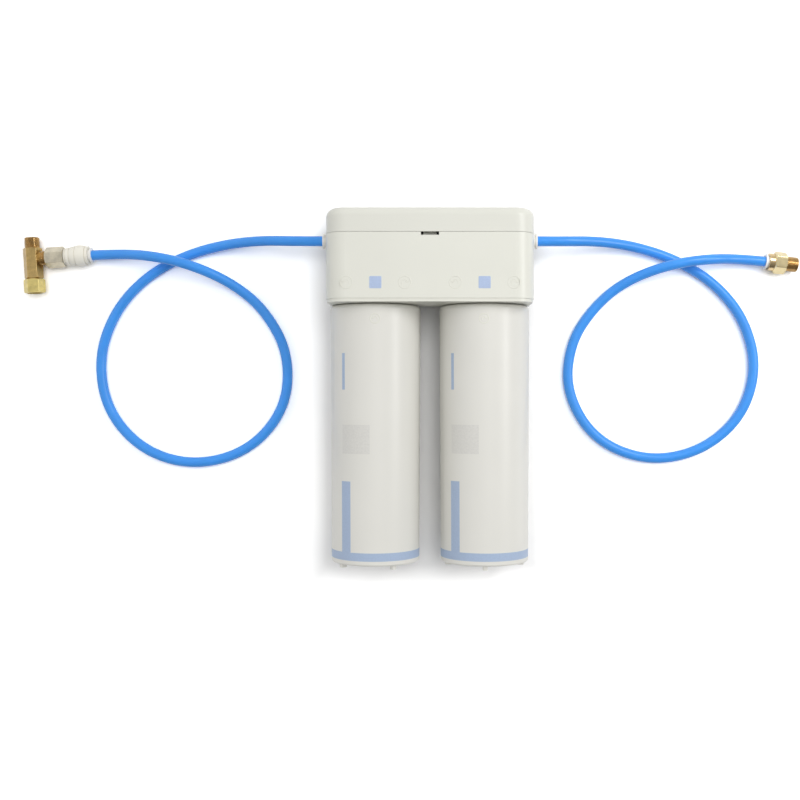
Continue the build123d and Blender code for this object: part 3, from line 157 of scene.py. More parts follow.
def noise(tree, vector, grain, detail=3.0, roughness=0.5):
    """A noise pattern whose grain is a length in metres."""
    texture = tree.nodes.new("ShaderNodeTexNoise")
    texture.inputs["Scale"].default_value = 1.0 / grain
    texture.inputs["Detail"].default_value = detail
    texture.inputs["Roughness"].default_value = roughness
    tree.links.new(vector, texture.inputs["Vector"])
    return texture.outputs["Fac"]


def math_node(tree, operation, *values):
    """A math node's result; each value is a number or another node's output."""
    node = tree.nodes.new("ShaderNodeMath")
    node.operation = operation
    for socket, value in zip(node.inputs, values):
        if isinstance(value, (int, float)):
            socket.default_value = value
        else:
            tree.links.new(value, socket)
    return node.outputs["Value"]


def spread(tree, value, low, high, start=0.0, end=1.0):
    """A value remapped from start..end to low..high."""
    remap = tree.nodes.new("ShaderNodeMapRange")
    for socket, limit in (("From Min", start), ("From Max", end), ("To Min", low), ("To Max", high)):
        remap.inputs[socket].default_value = limit
    tree.links.new(value, remap.inputs["Value"])
    return remap.outputs["Result"]


def shade(colour, factor):
    """A colour made lighter or darker."""
    return tuple(min(1.0, channel * factor) for channel in colour)


def tint(tree, shader, pattern, colour, limits, shades):
    """Colours the shader from one shade of a colour to another, between two limits of a pattern."""
    colours = tree.nodes.new("ShaderNodeValToRGB")
    for element, limit, factor in zip(colours.color_ramp.elements, limits, shades):
        element.position = limit
        element.color = (*shade(colour, factor), 1)
    tree.links.new(pattern, colours.inputs["Fac"])
    tree.links.new(colours.outputs["Color"], shader.inputs["Base Color"])


def roughen(tree, shader, pattern, low, high):
    """Lets the shader's roughness follow a pattern from low to high."""
    tree.links.new(spread(tree, pattern, low, high), shader.inputs["Roughness"])


def bump(tree, shader, height, depth):
    """Raises a pattern on the shader by a depth in metres."""
    node = tree.nodes.new("ShaderNodeBump")
    node.inputs["Distance"].default_value = depth
    tree.links.new(height, node.inputs["Height"])
    tree.links.new(node.outputs["Normal"], shader.inputs["Normal"])


# Materials


def moulded_plastic(name, colour, roughness, sheen_range, grain, depth):
    """Injection-moulded plastic: a fine grain, faint flow marks and a soft uneven gloss."""
    material, tree, shader = new_material(name)
    vector = object_coordinates(tree)
    flow_marks = noise(tree, vector, 60 * MM, detail=2.0)
    tint(tree, shader, flow_marks, colour, limits=(0.3, 0.7), shades=(0.985, 1.01))
    patches = noise(tree, vector, 9 * MM, detail=4.0)
    roughen(tree, shader, patches, roughness - sheen_range, roughness + sheen_range)
    bump(tree, shader, noise(tree, vector, grain, detail=5.0, roughness=0.6), depth)
    return material


def machined_metal(name, colour, roughness, stretch, grain, depth, tarnish):
    """Machined metal: fine tool marks along one direction and a slightly uneven, tarnished tint."""
    material, tree, shader = new_material(name)
    shader.inputs["Metallic"].default_value = 1.0
    shader.inputs["Coat Weight"].default_value = 0.5
    shader.inputs["Coat Roughness"].default_value = 0.15
    stains = noise(tree, object_coordinates(tree), 7 * MM, detail=4.0, roughness=0.6)
    tint(tree, shader, stains, colour, limits=(0.35, 0.65), shades=(tarnish, 1.0))
    tool_marks = noise(tree, object_coordinates(tree, stretch), grain, detail=4.0)
    roughen(tree, shader, tool_marks, roughness * 0.7, roughness * 1.4)
    bump(tree, shader, tool_marks, depth)
    return material


def printed_ink(name, colour):
    """Screen-printed ink: flat colour with faint thin spots and a satin face."""
    material, tree, shader = new_material(name)
    vector = object_coordinates(tree)
    cover = noise(tree, vector, 1.5 * MM, detail=5.0)
    tint(tree, shader, cover, colour, limits=(0.35, 0.65), shades=(0.97, 1.03))
    roughen(tree, shader, cover, 0.38, 0.5)
    bump(tree, shader, noise(tree, vector, 0.3 * MM), 0.003 * MM)
    return material


def moulded_rubber(name, colour):
    """Matt rubber with a fine bloom."""
    material, tree, shader = new_material(name)
    vector = object_coordinates(tree)
    bloom = noise(tree, vector, 2 * MM, detail=5.0)
    tint(tree, shader, bloom, colour, limits=(0.3, 0.7), shades=(0.8, 1.3))
    roughen(tree, shader, bloom, 0.5, 0.7)
    bump(tree, shader, noise(tree, vector, 0.3 * MM), 0.01 * MM)
    return material


def pressed_carbon(name, colour):
    """Sintered carbon: coarse dark grains."""
    material, tree, shader = new_material(name)
    grains = noise(tree, object_coordinates(tree), 0.8 * MM, detail=6.0, roughness=0.7)
    tint(tree, shader, grains, colour, limits=(0.35, 0.7), shades=(0.5, 2.0))
    shader.inputs["Roughness"].default_value = 0.85
    bump(tree, shader, grains, 0.15 * MM)
    return material


def fleece(name, colour):
    """Non-woven wrap: short pale fibres."""
    material, tree, shader = new_material(name)
    fibres = noise(tree, object_coordinates(tree, (1, 0.25, 1)), 1.2 * MM, detail=6.0, roughness=0.7)
    tint(tree, shader, fibres, colour, limits=(0.3, 0.7), shades=(0.85, 1.0))
    shader.inputs["Roughness"].default_value = 0.95
    bump(tree, shader, fibres, 0.1 * MM)
    return material


def extruded_tube(name, colour):
    """Extruded tube: glossy, slightly translucent, with a faint draw texture."""
    material, tree, shader = new_material(name)
    vector = object_coordinates(tree)
    tint(tree, shader, noise(tree, vector, 25 * MM), colour, limits=(0.3, 0.7), shades=(0.96, 1.04))
    shader.inputs["Subsurface Weight"].default_value = 0.12
    shader.inputs["Subsurface Radius"].default_value = (0.2, 0.4, 1.0)
    shader.inputs["Subsurface Scale"].default_value = 1.5 * MM
    roughen(tree, shader, noise(tree, vector, 2 * MM, detail=4.0), 0.24, 0.36)
    bump(tree, shader, noise(tree, vector, 0.9 * MM, detail=4.0), 0.012 * MM)
    return material


# Plastics and painted steel: colour, roughness and its range, size of the grain and its depth
PLASTICS = {
    "header_plastic": ((0.78, 0.78, 0.705), 0.32, 0.03, 0.35 * MM, 0.004 * MM),
    # The top cover's plastic: the header's plastic made a little darker, painted shade on the cover's face.
    "cover_plastic_painted_shade": ((0.755, 0.755, 0.685), 0.32, 0.02, 0.35 * MM, 0.004 * MM),
    "cartridge_plastic": ((0.775, 0.765, 0.715), 0.34, 0.05, 0.35 * MM, 0.004 * MM),
    "neck_plastic": ((0.82, 0.82, 0.79), 0.45, 0.05, 0.35 * MM, 0.004 * MM),
    "manifold_plastic": ((0.78, 0.78, 0.74), 0.5, 0.05, 0.35 * MM, 0.004 * MM),
    "fitting_plastic": ((0.92, 0.89, 0.79), 0.38, 0.05, 0.25 * MM, 0.004 * MM),
    "collet_plastic": ((0.93, 0.92, 0.89), 0.35, 0.05, 0.25 * MM, 0.004 * MM),
    # The signs' plastic: the pale plastic made a little darker, painted shade that makes the low relief show.
    "sign_plastic_painted_shade": ((0.77, 0.768, 0.69), 0.33, 0.05, 0.35 * MM, 0.004 * MM),
    "bracket_steel": ((0.74, 0.74, 0.70), 0.42, 0.05, 0.6 * MM, 0.01 * MM),
}

# Metals: colour, roughness, stretch of the tool marks, their size and depth, and the shade of the tarnish
METALS = {
    "brass": ((0.70, 0.485, 0.18), 0.29, (1, 0.08, 1), 0.5 * MM, 0.003 * MM, 0.75),
    "nut_brass": ((1.0, 0.82, 0.30), 0.32, (1, 0.08, 1), 0.5 * MM, 0.004 * MM, 0.75),
    "hex_brass": ((0.86, 0.72, 0.41), 0.15, (0.1, 1, 1), 0.5 * MM, 0.002 * MM, 0.85),
    "thread_brass": ((0.66, 0.46, 0.21), 0.24, (1, 1, 1), 0.5 * MM, 0.002 * MM, 0.75),
    "collar_brass": ((0.90, 0.68, 0.36), 0.22, (0.08, 1, 1), 0.4 * MM, 0.004 * MM, 0.75),
    "nickel": ((0.84, 0.77, 0.60), 0.33, (0.15, 1, 1), 0.4 * MM, 0.004 * MM, 0.75),
    "spring_steel": ((0.66, 0.66, 0.66), 0.25, (1, 1, 1), 0.4 * MM, 0.004 * MM, 0.75),
    "zinc_steel": ((0.68, 0.68, 0.66), 0.35, (1, 1, 0.1), 0.4 * MM, 0.006 * MM, 0.75),
}
INKS = {
    "ink_blue": (0.40, 0.50, 0.67),
    "insert_blue": (0.45, 0.55, 0.76),
    "panel_grey": (0.71, 0.70, 0.66),
}
FINISHES = {
    **{name: moulded_plastic(name, *values) for name, values in PLASTICS.items()},
    **{name: machined_metal(name, *values) for name, values in METALS.items()},
    **{name: printed_ink(name, colour) for name, colour in INKS.items()},
    "tube_blue": extruded_tube("tube_blue", (0.055, 0.325, 0.90)),
    "seal_rubber": moulded_rubber("seal_rubber", (0.03, 0.03, 0.03)),
    "carbon": pressed_carbon("carbon", (0.02, 0.02, 0.02)),
    "wrap_fabric": fleece("wrap_fabric", (0.88, 0.88, 0.88)),
}

# Nodes whose finish differs a little from the rest of their slot
NODE_FINISHES = {
    # Painted shade: the top cover takes a darker copy of the header's plastic.
    "top_cover": "cover_plastic_painted_shade",
    "adapter_collar": "collar_brass",
    "left_port_collet": "collet_plastic",
    "right_port_collet": "collet_plastic",
    "connector_collet": "collet_plastic",
    "adapter_collet": "collet_plastic",
}


def dress_frame():
    """Gives every CAD node its own finish, or else the one of its slot."""
    for subpart in frame["record"]["subparts"]:
        finish = NODE_FINISHES.get(subpart["node"], subpart["material_slot"])
        materials = frame["nodes"][subpart["node"]].data.materials
        materials.clear()
        materials.append(FINISHES[finish])


# Meshes

WELD_REACH = 1e-7
PIECE_SHARP_DEG = 35
FITTING_SHARP_DEG = 25


def mesh_piece(name, verts, faces, finish, body, slot, sharp_deg=PIECE_SHARP_DEG):
    """A closed mesh that rides on a body."""
    mesh = bpy.data.meshes.new(name)
    mesh.from_pydata([tuple(v) for v in verts], [], faces)
    mesh.validate()
    work = bmesh.new()
    work.from_mesh(mesh)
    bmesh.ops.remove_doubles(work, verts=work.verts, dist=WELD_REACH)
    bmesh.ops.recalc_face_normals(work, faces=work.faces)
    work.to_mesh(mesh)
    work.free()
    piece = bpy.data.objects.new(name, mesh)
    bpy.context.scene.collection.objects.link(piece)
    mesh.materials.append(FINISHES[finish])
    mesh.shade_smooth()
    mesh.set_sharp_from_angle(angle=math.radians(sharp_deg))
    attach(piece, body)
    return piece


def skinned(sections, closed):
    """The verts and faces of a bar through like sections, closed on itself or capped at both ends."""
    count = len(sections)
    ring = len(sections[0])
    faces = []
    for i in range(count if closed else count - 1):
        near = i * ring
        far = (i + 1) % count * ring
        for k in range(ring):
            after = (k + 1) % ring
            faces.append([near + k, near + after, far + after, far + k])
    if not closed:
        faces.append(list(range(ring)))
        faces.append([(count - 1) * ring + k for k in reversed(range(ring))])
    return [vert for section in sections for vert in section], faces


def join_meshes(parts):
    """Verts and faces of several meshes as one list."""
    verts = []
    faces = []
    for part_verts, part_faces in parts:
        first = len(verts)
        verts.extend(part_verts)
        faces.extend([[first + i for i in face] for face in part_faces])
    return verts, faces


# Threads: centre, axis, start, end and crest radius of each, on the fittings' own axes

TEE_CENTRE = Vector((-0.381493, 0.126008, 0.0103))
TEE_RUN = Vector((-0.061049, 0.998135, 0.0))
TEE_BRANCH = Vector((0.998135, 0.061049, 0.0))
ADAPTER_PORT = Vector((0.322, 0.1237, 0.00927))
ADAPTER_RUN = Vector((0.993572, -0.113203, 0.0))
TEE_THREADS = [
    (TEE_CENTRE, TEE_RUN, 10.2 * MM, 20.2 * MM, 7.145 * MM),
    (TEE_CENTRE, TEE_BRANCH, 4.0 * MM, 22.4 * MM, 6.9 * MM),
]
ADAPTER_THREADS = [(ADAPTER_PORT, ADAPTER_RUN, 20.8 * MM, 31.1 * MM, 7.145 * MM)]

THREAD_PITCH = 1.058 * MM
THREAD_DEPTH = 0.62 * MM
THREAD_CORE = 0.85 * MM
THREAD_SEAT = 1.2 * MM
THREAD_CHAMFER = 0.8 * MM
THREAD_RUNOUT = 0.7 * MM
THREAD_SETBACK = 0.02 * MM
THREAD_SEEN_FROM = 9.0 * MM
THREAD_COLUMNS = 72
THREAD_ROWS_A_TURN = 12
MATCH = 0.05 * MM

# Shares of the pitch: the flat crest, and both flanks together
CREST_SHARE = 0.14
FLANKS_SHARE = 0.72

# Hexagons: centre, axis, start, end, across flats and the angle of one rounded edge from straight up
TEE_HEX = (TEE_CENTRE, TEE_RUN, -19.3 * MM, 10.2 * MM, 15.6 * MM, 38.0)
ADAPTER_HEX = (ADAPTER_PORT, ADAPTER_RUN, 8.3 * MM, 19.8 * MM, 18.5 * MM, 30.0)

# Nuts: axis through the tee's centre, the angle of one rounded edge from straight up, slot and finish
NUTS = {
    "swivel_nut": (TEE_RUN, 40.0, "brass", "nut_brass"),
    "coupling_nut": (TEE_BRANCH, 36.0, "nickel", "nickel"),
}
NUT_ACROSS = 17.5 * MM
HEX_SIDES = 6
HALF_SIDE_ANGLE = math.pi / HEX_SIDES
HEX_CHAMFER_ANGLE = math.pi / 6
EDGE_ROUND = 0.55 * MM
EDGE_STEPS = 6
FLAT_STEPS = 5
HEX_SEAT_SHARE = 0.80
HEX_CORE_SHARE = 0.92
HEX_PROUD = 0.02 * MM
FACE_CIRCLE_SHARE = 0.96


def thread_radius(angle, along, start, end, crest):
    """A thread's radius at an angle and a place along it: flats at crest and root, chamfered at its end."""
    phase = (along / THREAD_PITCH - angle / math.tau) % 1
    fall = min(1.0, max(0.0, (abs(2 * phase - 1) - CREST_SHARE) / FLANKS_SHARE))
    ease = min(1.0, (along - start) / THREAD_RUNOUT)
    radius = crest - THREAD_DEPTH * fall * ease
    return min(radius, crest - THREAD_CHAMFER + end - along)


def thread_sleeve(centre, axis, start, end, crest):
    """The verts and faces of a right-hand thread, closed on the inside, round a turned-down blank."""
    side = axis.orthogonal().normalized()
    other = axis.cross(side)
    tip = end - THREAD_SETBACK
    rows = math.ceil((tip - start) / THREAD_PITCH * THREAD_ROWS_A_TURN)
    crests = [(start + (tip - start) * row / rows, True) for row in range(rows + 1)]
    rings = []
    for along, outside in [(start, False), *crests, (tip, False)]:
        ring = []
        for column in range(THREAD_COLUMNS):
            angle = math.tau * column / THREAD_COLUMNS
            radius = thread_radius(angle, along, start, end, crest) if outside else crest - THREAD_SEAT
            ring.append(centre + axis * along + (side * math.cos(angle) + other * math.sin(angle)) * radius)
        rings.append(ring)
    return skinned(rings, closed=True)


def hex_outline(across, edge_deg):
    """The flat points of a hexagon with rounded edges, from one edge round to it again."""
    apothem = across / 2
    centre_out = (apothem - EDGE_ROUND) / math.cos(HALF_SIDE_ANGLE)
    flat_half = (apothem - EDGE_ROUND) * math.tan(HALF_SIDE_ANGLE)
    points = []
    for edge in range(HEX_SIDES):
        middle = math.radians(edge_deg + 360 / HEX_SIDES * edge)
        hub = Vector((math.cos(middle), math.sin(middle))) * centre_out
        for step in range(EDGE_STEPS + 1):
            turn = middle + HALF_SIDE_ANGLE * (2 * step / EDGE_STEPS - 1)
            points.append(hub + Vector((math.cos(turn), math.sin(turn))) * EDGE_ROUND)
        facing = middle + HALF_SIDE_ANGLE
        normal = Vector((math.cos(facing), math.sin(facing)))
        across_face = Vector((-normal.y, normal.x))
        for step in range(1, FLAT_STEPS + 1):
            share = 2 * step / (FLAT_STEPS + 1) - 1
            points.append(normal * apothem + across_face * flat_half * share)
    return points


def hex_sleeve(centre, axis, start, end, across, edge_deg):
    """The verts and faces of a hexagon with rounded edges and chamfered ends, closed on the inside."""
    up = Vector((0, 0, 1))
    side = axis.cross(up).normalized()
    low, high = start - HEX_PROUD, end + HEX_PROUD
    circle = across / 2 * FACE_CIRCLE_SHARE
    seat = across / 2 * HEX_SEAT_SHARE
    columns = []
    for point in hex_outline(across, edge_deg):
        radius = point.length
        ray = (up * point.x + side * point.y) / radius
        cut = max(0.0, radius - circle) * math.tan(HEX_CHAMFER_ANGLE)
        places = [
            (low, seat),
            (low, min(radius, circle)),
            (low + cut, radius),
            (high - cut, radius),
            (high, min(radius, circle)),
            (high, seat),
        ]
        columns.append([centre + axis * along + ray * reach for along, reach in places])
    return skinned(list(zip(*columns)), closed=True)


def draw_in(verts, centre, axis, start, end, least, most, core):
    """Draws the verts of a span whose radius is between least and most in to a core radius."""
    for vert in verts:
        along = (vert - centre).dot(axis)
        out = vert - centre - axis * along
        if start - MATCH < along < end + MATCH and least < out.length < most:
            vert -= out * (1 - core / out.length)


def finish_threads(piece, threads):
    """Gives the threads that show their own finish, on their outer surface."""
    piece.data.materials.append(FINISHES["thread_brass"])
    for centre, axis, start, end, crest in threads:
        seen_from = max(start, THREAD_SEEN_FROM)
        for polygon in piece.data.polygons:
            along = (polygon.center - centre).dot(axis)
            reach = (polygon.center - centre - axis * along).length
            if seen_from < along < end and crest - THREAD_DEPTH - THREAD_CHAMFER < reach < crest + MATCH:
                polygon.material_index = 1


def finished_fitting(name, node, body, slot, finish, threads=(), hexagons=()):
    """A fitting with real threads and rounded edges: the CAD shape drawn in a little, inside new surfaces."""
    source = frame["nodes"][node].data
    verts = [Vector(vert.co) for vert in source.vertices]
    parts = []
    for centre, axis, start, end, crest in threads:
        core = crest - THREAD_CORE
        draw_in(verts, centre, axis, start, end, core, crest + MATCH, core)
        parts.append(thread_sleeve(centre, axis, start, end, crest))
    for centre, axis, start, end, across, edge_deg in hexagons:
        core = across / 2 * HEX_CORE_SHARE
        draw_in(verts, centre, axis, start, end, core, across, core)
        parts.append(hex_sleeve(centre, axis, start, end, across, edge_deg))
    faces = [list(polygon.vertices) for polygon in source.polygons]
    verts, faces = join_meshes([(verts, faces), *parts])
    piece = mesh_piece(name, verts, faces, finish, body, slot, sharp_deg=FITTING_SHARP_DEG)
    if threads:
        finish_threads(piece, threads)
    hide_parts(node)
    return piece


def edged_nut(node):
    """A nut with rounded edges, which rides on its own body."""
    axis, edge_deg, slot, finish = NUTS[node]
    reach = [(vert.co - TEE_CENTRE).dot(axis) for vert in frame["nodes"][node].data.vertices]
    hexagon = (TEE_CENTRE, axis, min(reach), max(reach), NUT_ACROSS, edge_deg)
    return finished_fitting(f"{node}_edged", node, node, slot, finish, hexagons=[hexagon])


# Free tubes and the fittings on them


def free_tube(name, node, route, exit_point):
    """One free tube: a smooth curve through its route, standing for its plain solid."""
    curve = bpy.data.curves.new(name, "CURVE")
    curve.dimensions = "3D"
    curve.bevel_depth = TUBE_RADIUS
    curve.bevel_resolution = TUBE_ROUND_STEPS
    curve.use_fill_caps = True
    spline = curve.splines.new("NURBS")
    spline.points.add(len(route) - 1)
    for point, place in zip(spline.points, route):
        point.co = (*place, 1)
    spline.order_u = 3
    spline.use_endpoint_u = True
    spline.resolution_u = TUBE_RUN_STEPS
    spline.use_smooth = True
    tube = bpy.data.objects.new(name, curve)
    bpy.context.scene.collection.objects.link(tube)
    curve.materials.append(FINISHES["tube_blue"])
    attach(tube, "header")
    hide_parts(node)


def collet_face(node, side):
    """The middle of a header port's collet, on its outer face."""
    low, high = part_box(node)
    middle = (low + high) / 2
    return (low.x if side < 0 else high.x, middle.y, middle.z)


def make_tubes():
    """Both free tubes, each with the fittings at its end."""
    tee = finished_fitting(
        "feed_tee_threaded",
        "feed_tee",
        "header",
        slot="brass",
        finish="brass",
        threads=TEE_THREADS,
        hexagons=[TEE_HEX],
    )
    adapter = finished_fitting(
        "adapter_threaded",
        "adapter_body",
        "header",
        slot="brass",
        finish="hex_brass",
        threads=ADAPTER_THREADS,
        hexagons=[ADAPTER_HEX],
    )
    nuts = [edged_nut(node) for node in NUTS]
    free_tube(
        "left_tube_run",
        "left_tube",
        LEFT_ROUTE,
        collet_face("left_port_collet", SIDES["left"]),
    )
    free_tube(
        "right_tube_run",
        "right_tube",
        RIGHT_ROUTE,
        collet_face("right_port_collet", SIDES["right"]),
    )


# Printed and moulded marks, placed from the boxes of what carries them

SHELL_LOW, SHELL_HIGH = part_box("left_cartridge_shell")
CAP_LOW, CAP_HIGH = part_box("left_end_cap")
CARTRIDGE_X = (SHELL_HIGH.x + SHELL_LOW.x) / 2
CARTRIDGE_Z = (SHELL_HIGH.z + SHELL_LOW.z) / 2
CARTRIDGE_TOP_RADIUS = (SHELL_HIGH.x - SHELL_LOW.x) / 2
CARTRIDGE_END_RADIUS = (CAP_HIGH.x - CAP_LOW.x) / 2
SHOULDER_Y = SHELL_HIGH.y
SHELL_FOOT_Y = SHELL_LOW.y
FRONT_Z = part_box("header_housing")[1].z

INK_PROUD = 0.06 * MM
INK_SUNK = 0.25 * MM
PRINT_STEP_DEG = 1.5

BAND_FOOT = 1.6 * MM
BAND_HEIGHT = 7.3 * MM
THICK_BAR_DEG = (-45.2, -30.9)
THICK_BAR_TOP = -82.3 * MM
THIN_BAR_DEG = (-43.9, -39.4)
THIN_BAR_Y = (0.3 * MM, 33.2 * MM)
PANEL_DEG = (-43.8, -4.6)
PANEL_Y = (-57.4 * MM, -31.3 * MM)
CARTRIDGE_SIGN_DEG = 2.0
CARTRIDGE_SIGN_Y = 63.8 * MM
CARTRIDGE_SIGN_RADIUS = 4.3 * MM
PRINT_TWIST_DEG = {"left": 0.0, "right": -5.1}

MARK_Y = 94.8 * MM
INSERT_X = 48.1 * MM
INSERT_SIDE = 10.7 * MM
INSERT_CORNER = 0.9 * MM
INSERT_CORNER_STEPS = 6

# A square insert's edge from below up: how far it is drawn in, and its height over the header's front
INSERT_LEVELS = [(0.0, -0.6 * MM), (0.0, 0.02 * MM), (0.08 * MM, 0.09 * MM), (0.3 * MM, 0.12 * MM)]

SIGN_OFFSET = 25.8 * MM
SIGN_RADIUS = 5.4 * MM
SIGN_STEPS = 48

# A sign's raised line: its section, in shares of its width and of its height over or under the surface
RELIEF_WIDTH = 0.9 * MM
RELIEF_PROUD = 0.16 * MM
RELIEF_SUNK = 0.2 * MM
RELIEF_DOME = [
    (-0.5, -1.0),
    (-0.5, 0.0),
    (-0.38, 0.62),
    (-0.18, 0.94),
    (0.18, 0.94),
    (0.38, 0.62),
    (0.5, 0.0),
    (0.5, -1.0),
]

# A sign's turn arrow: shares of the ring's radius, width and height, its two ends from the top, its steps
ARROW_RADIUS_SHARE = 0.46
ARROW_WIDTH_SHARE = 0.8
ARROW_DEG = (130, -100)
ARROW_STEPS = 24
HEAD_SHARE = 0.34
HEAD_PROUD_SHARE = 0.9
HEAD_STEPS = 3


def cartridge_radius(y):
    """The cartridge's outer radius at a height, along its draft."""
    share = (y - SHELL_FOOT_Y) / (SHOULDER_Y - SHELL_FOOT_Y)
    return CARTRIDGE_END_RADIUS + (CARTRIDGE_TOP_RADIUS - CARTRIDGE_END_RADIUS) * share


def on_cartridge(side, angle, y, height):
    """A point over a cartridge's surface: angle in degrees from the front, height above the surface."""
    reach = cartridge_radius(y) + height
    turn = math.radians(angle)
    return Vector((side * abs(CARTRIDGE_X) + reach * math.sin(turn), y, CARTRIDGE_Z + reach * math.cos(turn)))


def wrapped_patch(name, side, degrees, ys, finish, body):
    """A print on a cartridge between two angles and two heights; a whole turn closes on itself."""
    start, end = degrees
    whole = end - start >= 360
    steps = max(2, round((end - start) / PRINT_STEP_DEG))
    corners = [(ys[0], INK_PROUD), (ys[1], INK_PROUD), (ys[1], -INK_SUNK), (ys[0], -INK_SUNK)]
    sections = []
    for step in range(steps if whole else steps + 1):
        angle = start + (end - start) * step / steps
        sections.append([on_cartridge(side, angle, y, height) for y, height in corners])
    verts, faces = skinned(sections, closed=whole)
    mesh_piece(name, verts, faces, finish, body, "cartridge_plastic")


def raised_line(points, width, proud, closed, place):
    """The verts and faces of a rounded raised line along flat points; place maps flat x, y and height."""
    count = len(points)
    sections = []
    for i, point in enumerate(points):
        before = points[i - 1] if closed or i else point
        after = points[(i + 1) % count] if closed or i < count - 1 else point
        heading = (Vector(after) - Vector(before)).normalized()
        across = Vector((-heading.y, heading.x))
        section = []
        for share, rise in RELIEF_DOME:
            spot = Vector(point) + across * share * width
            section.append(place(spot.x, spot.y, rise * (proud if rise > 0 else RELIEF_SUNK)))
        sections.append(section)
    return skinned(sections, closed)


def arc_points(radius, start_deg, end_deg, steps):
    """Flat points along an arc."""
    angles = [math.radians(start_deg + (end_deg - start_deg) * i / steps) for i in range(steps + 1)]
    return [(radius * math.cos(a), radius * math.sin(a)) for a in angles]


def turn_sign(name, radius, place, turn, body, slot):
    """A moulded sign: a ring round a short turn arrow, which points one way or the other."""
    ring = arc_points(radius, 0, 360, SIGN_STEPS)[:-1]
    first, last = (90 + turn * swing for swing in ARROW_DEG)
    arrow = arc_points(radius * ARROW_RADIUS_SHARE, first, last, ARROW_STEPS)
    tip = Vector(arrow[-1])
    back = (Vector(arrow[-1 - HEAD_STEPS]) - tip).normalized()
    side = Vector((-back.y, back.x))
    barb = radius * HEAD_SHARE
    head = [tuple(tip + (back + side) * barb), tuple(tip), tuple(tip + (back - side) * barb)]
    thin = RELIEF_WIDTH * ARROW_WIDTH_SHARE
    verts, faces = join_meshes(
        [
            raised_line(ring, RELIEF_WIDTH, RELIEF_PROUD, True, place),
            raised_line(arrow, thin, RELIEF_PROUD, False, place),
            raised_line(head, thin, RELIEF_PROUD * HEAD_PROUD_SHARE, False, place),
        ]
    )
    # Painted shade: the sign takes a slightly darker copy of the pale plastic around it.
    mesh_piece(name, verts, faces, "sign_plastic_painted_shade", body, slot)


def rounded_square(side, corner, steps):
    """Flat points of a square with round corners."""
    points = []
    half = side / 2 - corner
    for quarter in range(4):
        centre = Vector((half if quarter in (0, 3) else -half, half if quarter in (0, 1) else -half))
        for i in range(steps + 1):
            angle = math.radians(90 * quarter + 90 * i / steps)
            points.append(centre + Vector((math.cos(angle), math.sin(angle))) * corner)
    return points


def front_insert(name, x):
    """A flush square insert in the header's front with a soft edge."""
    sections = []
    for inset, height in INSERT_LEVELS:
        outline = rounded_square(INSERT_SIDE - 2 * inset, INSERT_CORNER, INSERT_CORNER_STEPS)
        sections.append([(x + point.x, MARK_Y + point.y, FRONT_Z + height) for point in outline])
    verts, faces = skinned(sections, closed=False)
    mesh_piece(name, verts, faces, "insert_blue", "header", "header_plastic")


def make_header_marks():
    """The header's two square inserts and its four moulded signs."""
    for side_name, side in SIDES.items():
        centre = side * INSERT_X
        front_insert(f"{side_name}_insert", centre)
        for sign_name, offset, turn in (("outer", side * SIGN_OFFSET, 1), ("inner", -side * SIGN_OFFSET, -1)):

            def place(u, v, height, middle=centre + offset):
                return (middle + u, MARK_Y + v, FRONT_Z + height)

            name = f"{side_name}_{sign_name}_sign"
            turn_sign(name, SIGN_RADIUS, place, turn * side, "header", "header_plastic")


def make_cartridge_marks():
    """Each cartridge's band, bars, write-on panel and moulded sign."""
    for side_name, side in SIDES.items():
        body = f"{side_name}_cartridge"
        twist = PRINT_TWIST_DEG[side_name]
        band = (SHELL_FOOT_Y + BAND_FOOT, SHELL_FOOT_Y + BAND_FOOT + BAND_HEIGHT)
        wrapped_patch(f"{side_name}_foot_band", side, (0, 360), band, "ink_blue", body)
        for name, degrees, ys, ink in (
            ("thick_bar", THICK_BAR_DEG, (band[1], THICK_BAR_TOP), "ink_blue"),
            ("thin_bar", THIN_BAR_DEG, THIN_BAR_Y, "ink_blue"),
            ("write_on_panel", PANEL_DEG, PANEL_Y, "panel_grey"),
        ):
            turned = (degrees[0] + twist, degrees[1] + twist)
            wrapped_patch(f"{side_name}_{name}", side, turned, ys, ink, body)

        def place(u, v, height, side=side, twist=twist):
            y = CARTRIDGE_SIGN_Y + v
            angle = CARTRIDGE_SIGN_DEG + twist + math.degrees(u / cartridge_radius(y))
            return on_cartridge(side, angle, y, height)

        name = f"{side_name}_cartridge_sign"
        turn_sign(name, CARTRIDGE_SIGN_RADIUS, place, side, body, "cartridge_plastic")


# Stage, light and camera


def floor_level(tree):
    """The floor's seen level: lower close to the object, painted shade that deepens its shadow, and white
    further out.
    """
    place = tree.nodes.new("ShaderNodeTexCoord")
    split = tree.nodes.new("ShaderNodeSeparateXYZ")
    tree.links.new(place.outputs["Object"], split.inputs["Vector"])
    beyond = [
        math_node(tree, "SUBTRACT", math_node(tree, "ABSOLUTE", split.outputs[axis]), near)
        for axis, near in zip("XY", FLOOR_NEAR)
    ]
    return spread(tree, math_node(tree, "MAXIMUM", *beyond), *FLOOR_SEEN, end=FLOOR_FADE)


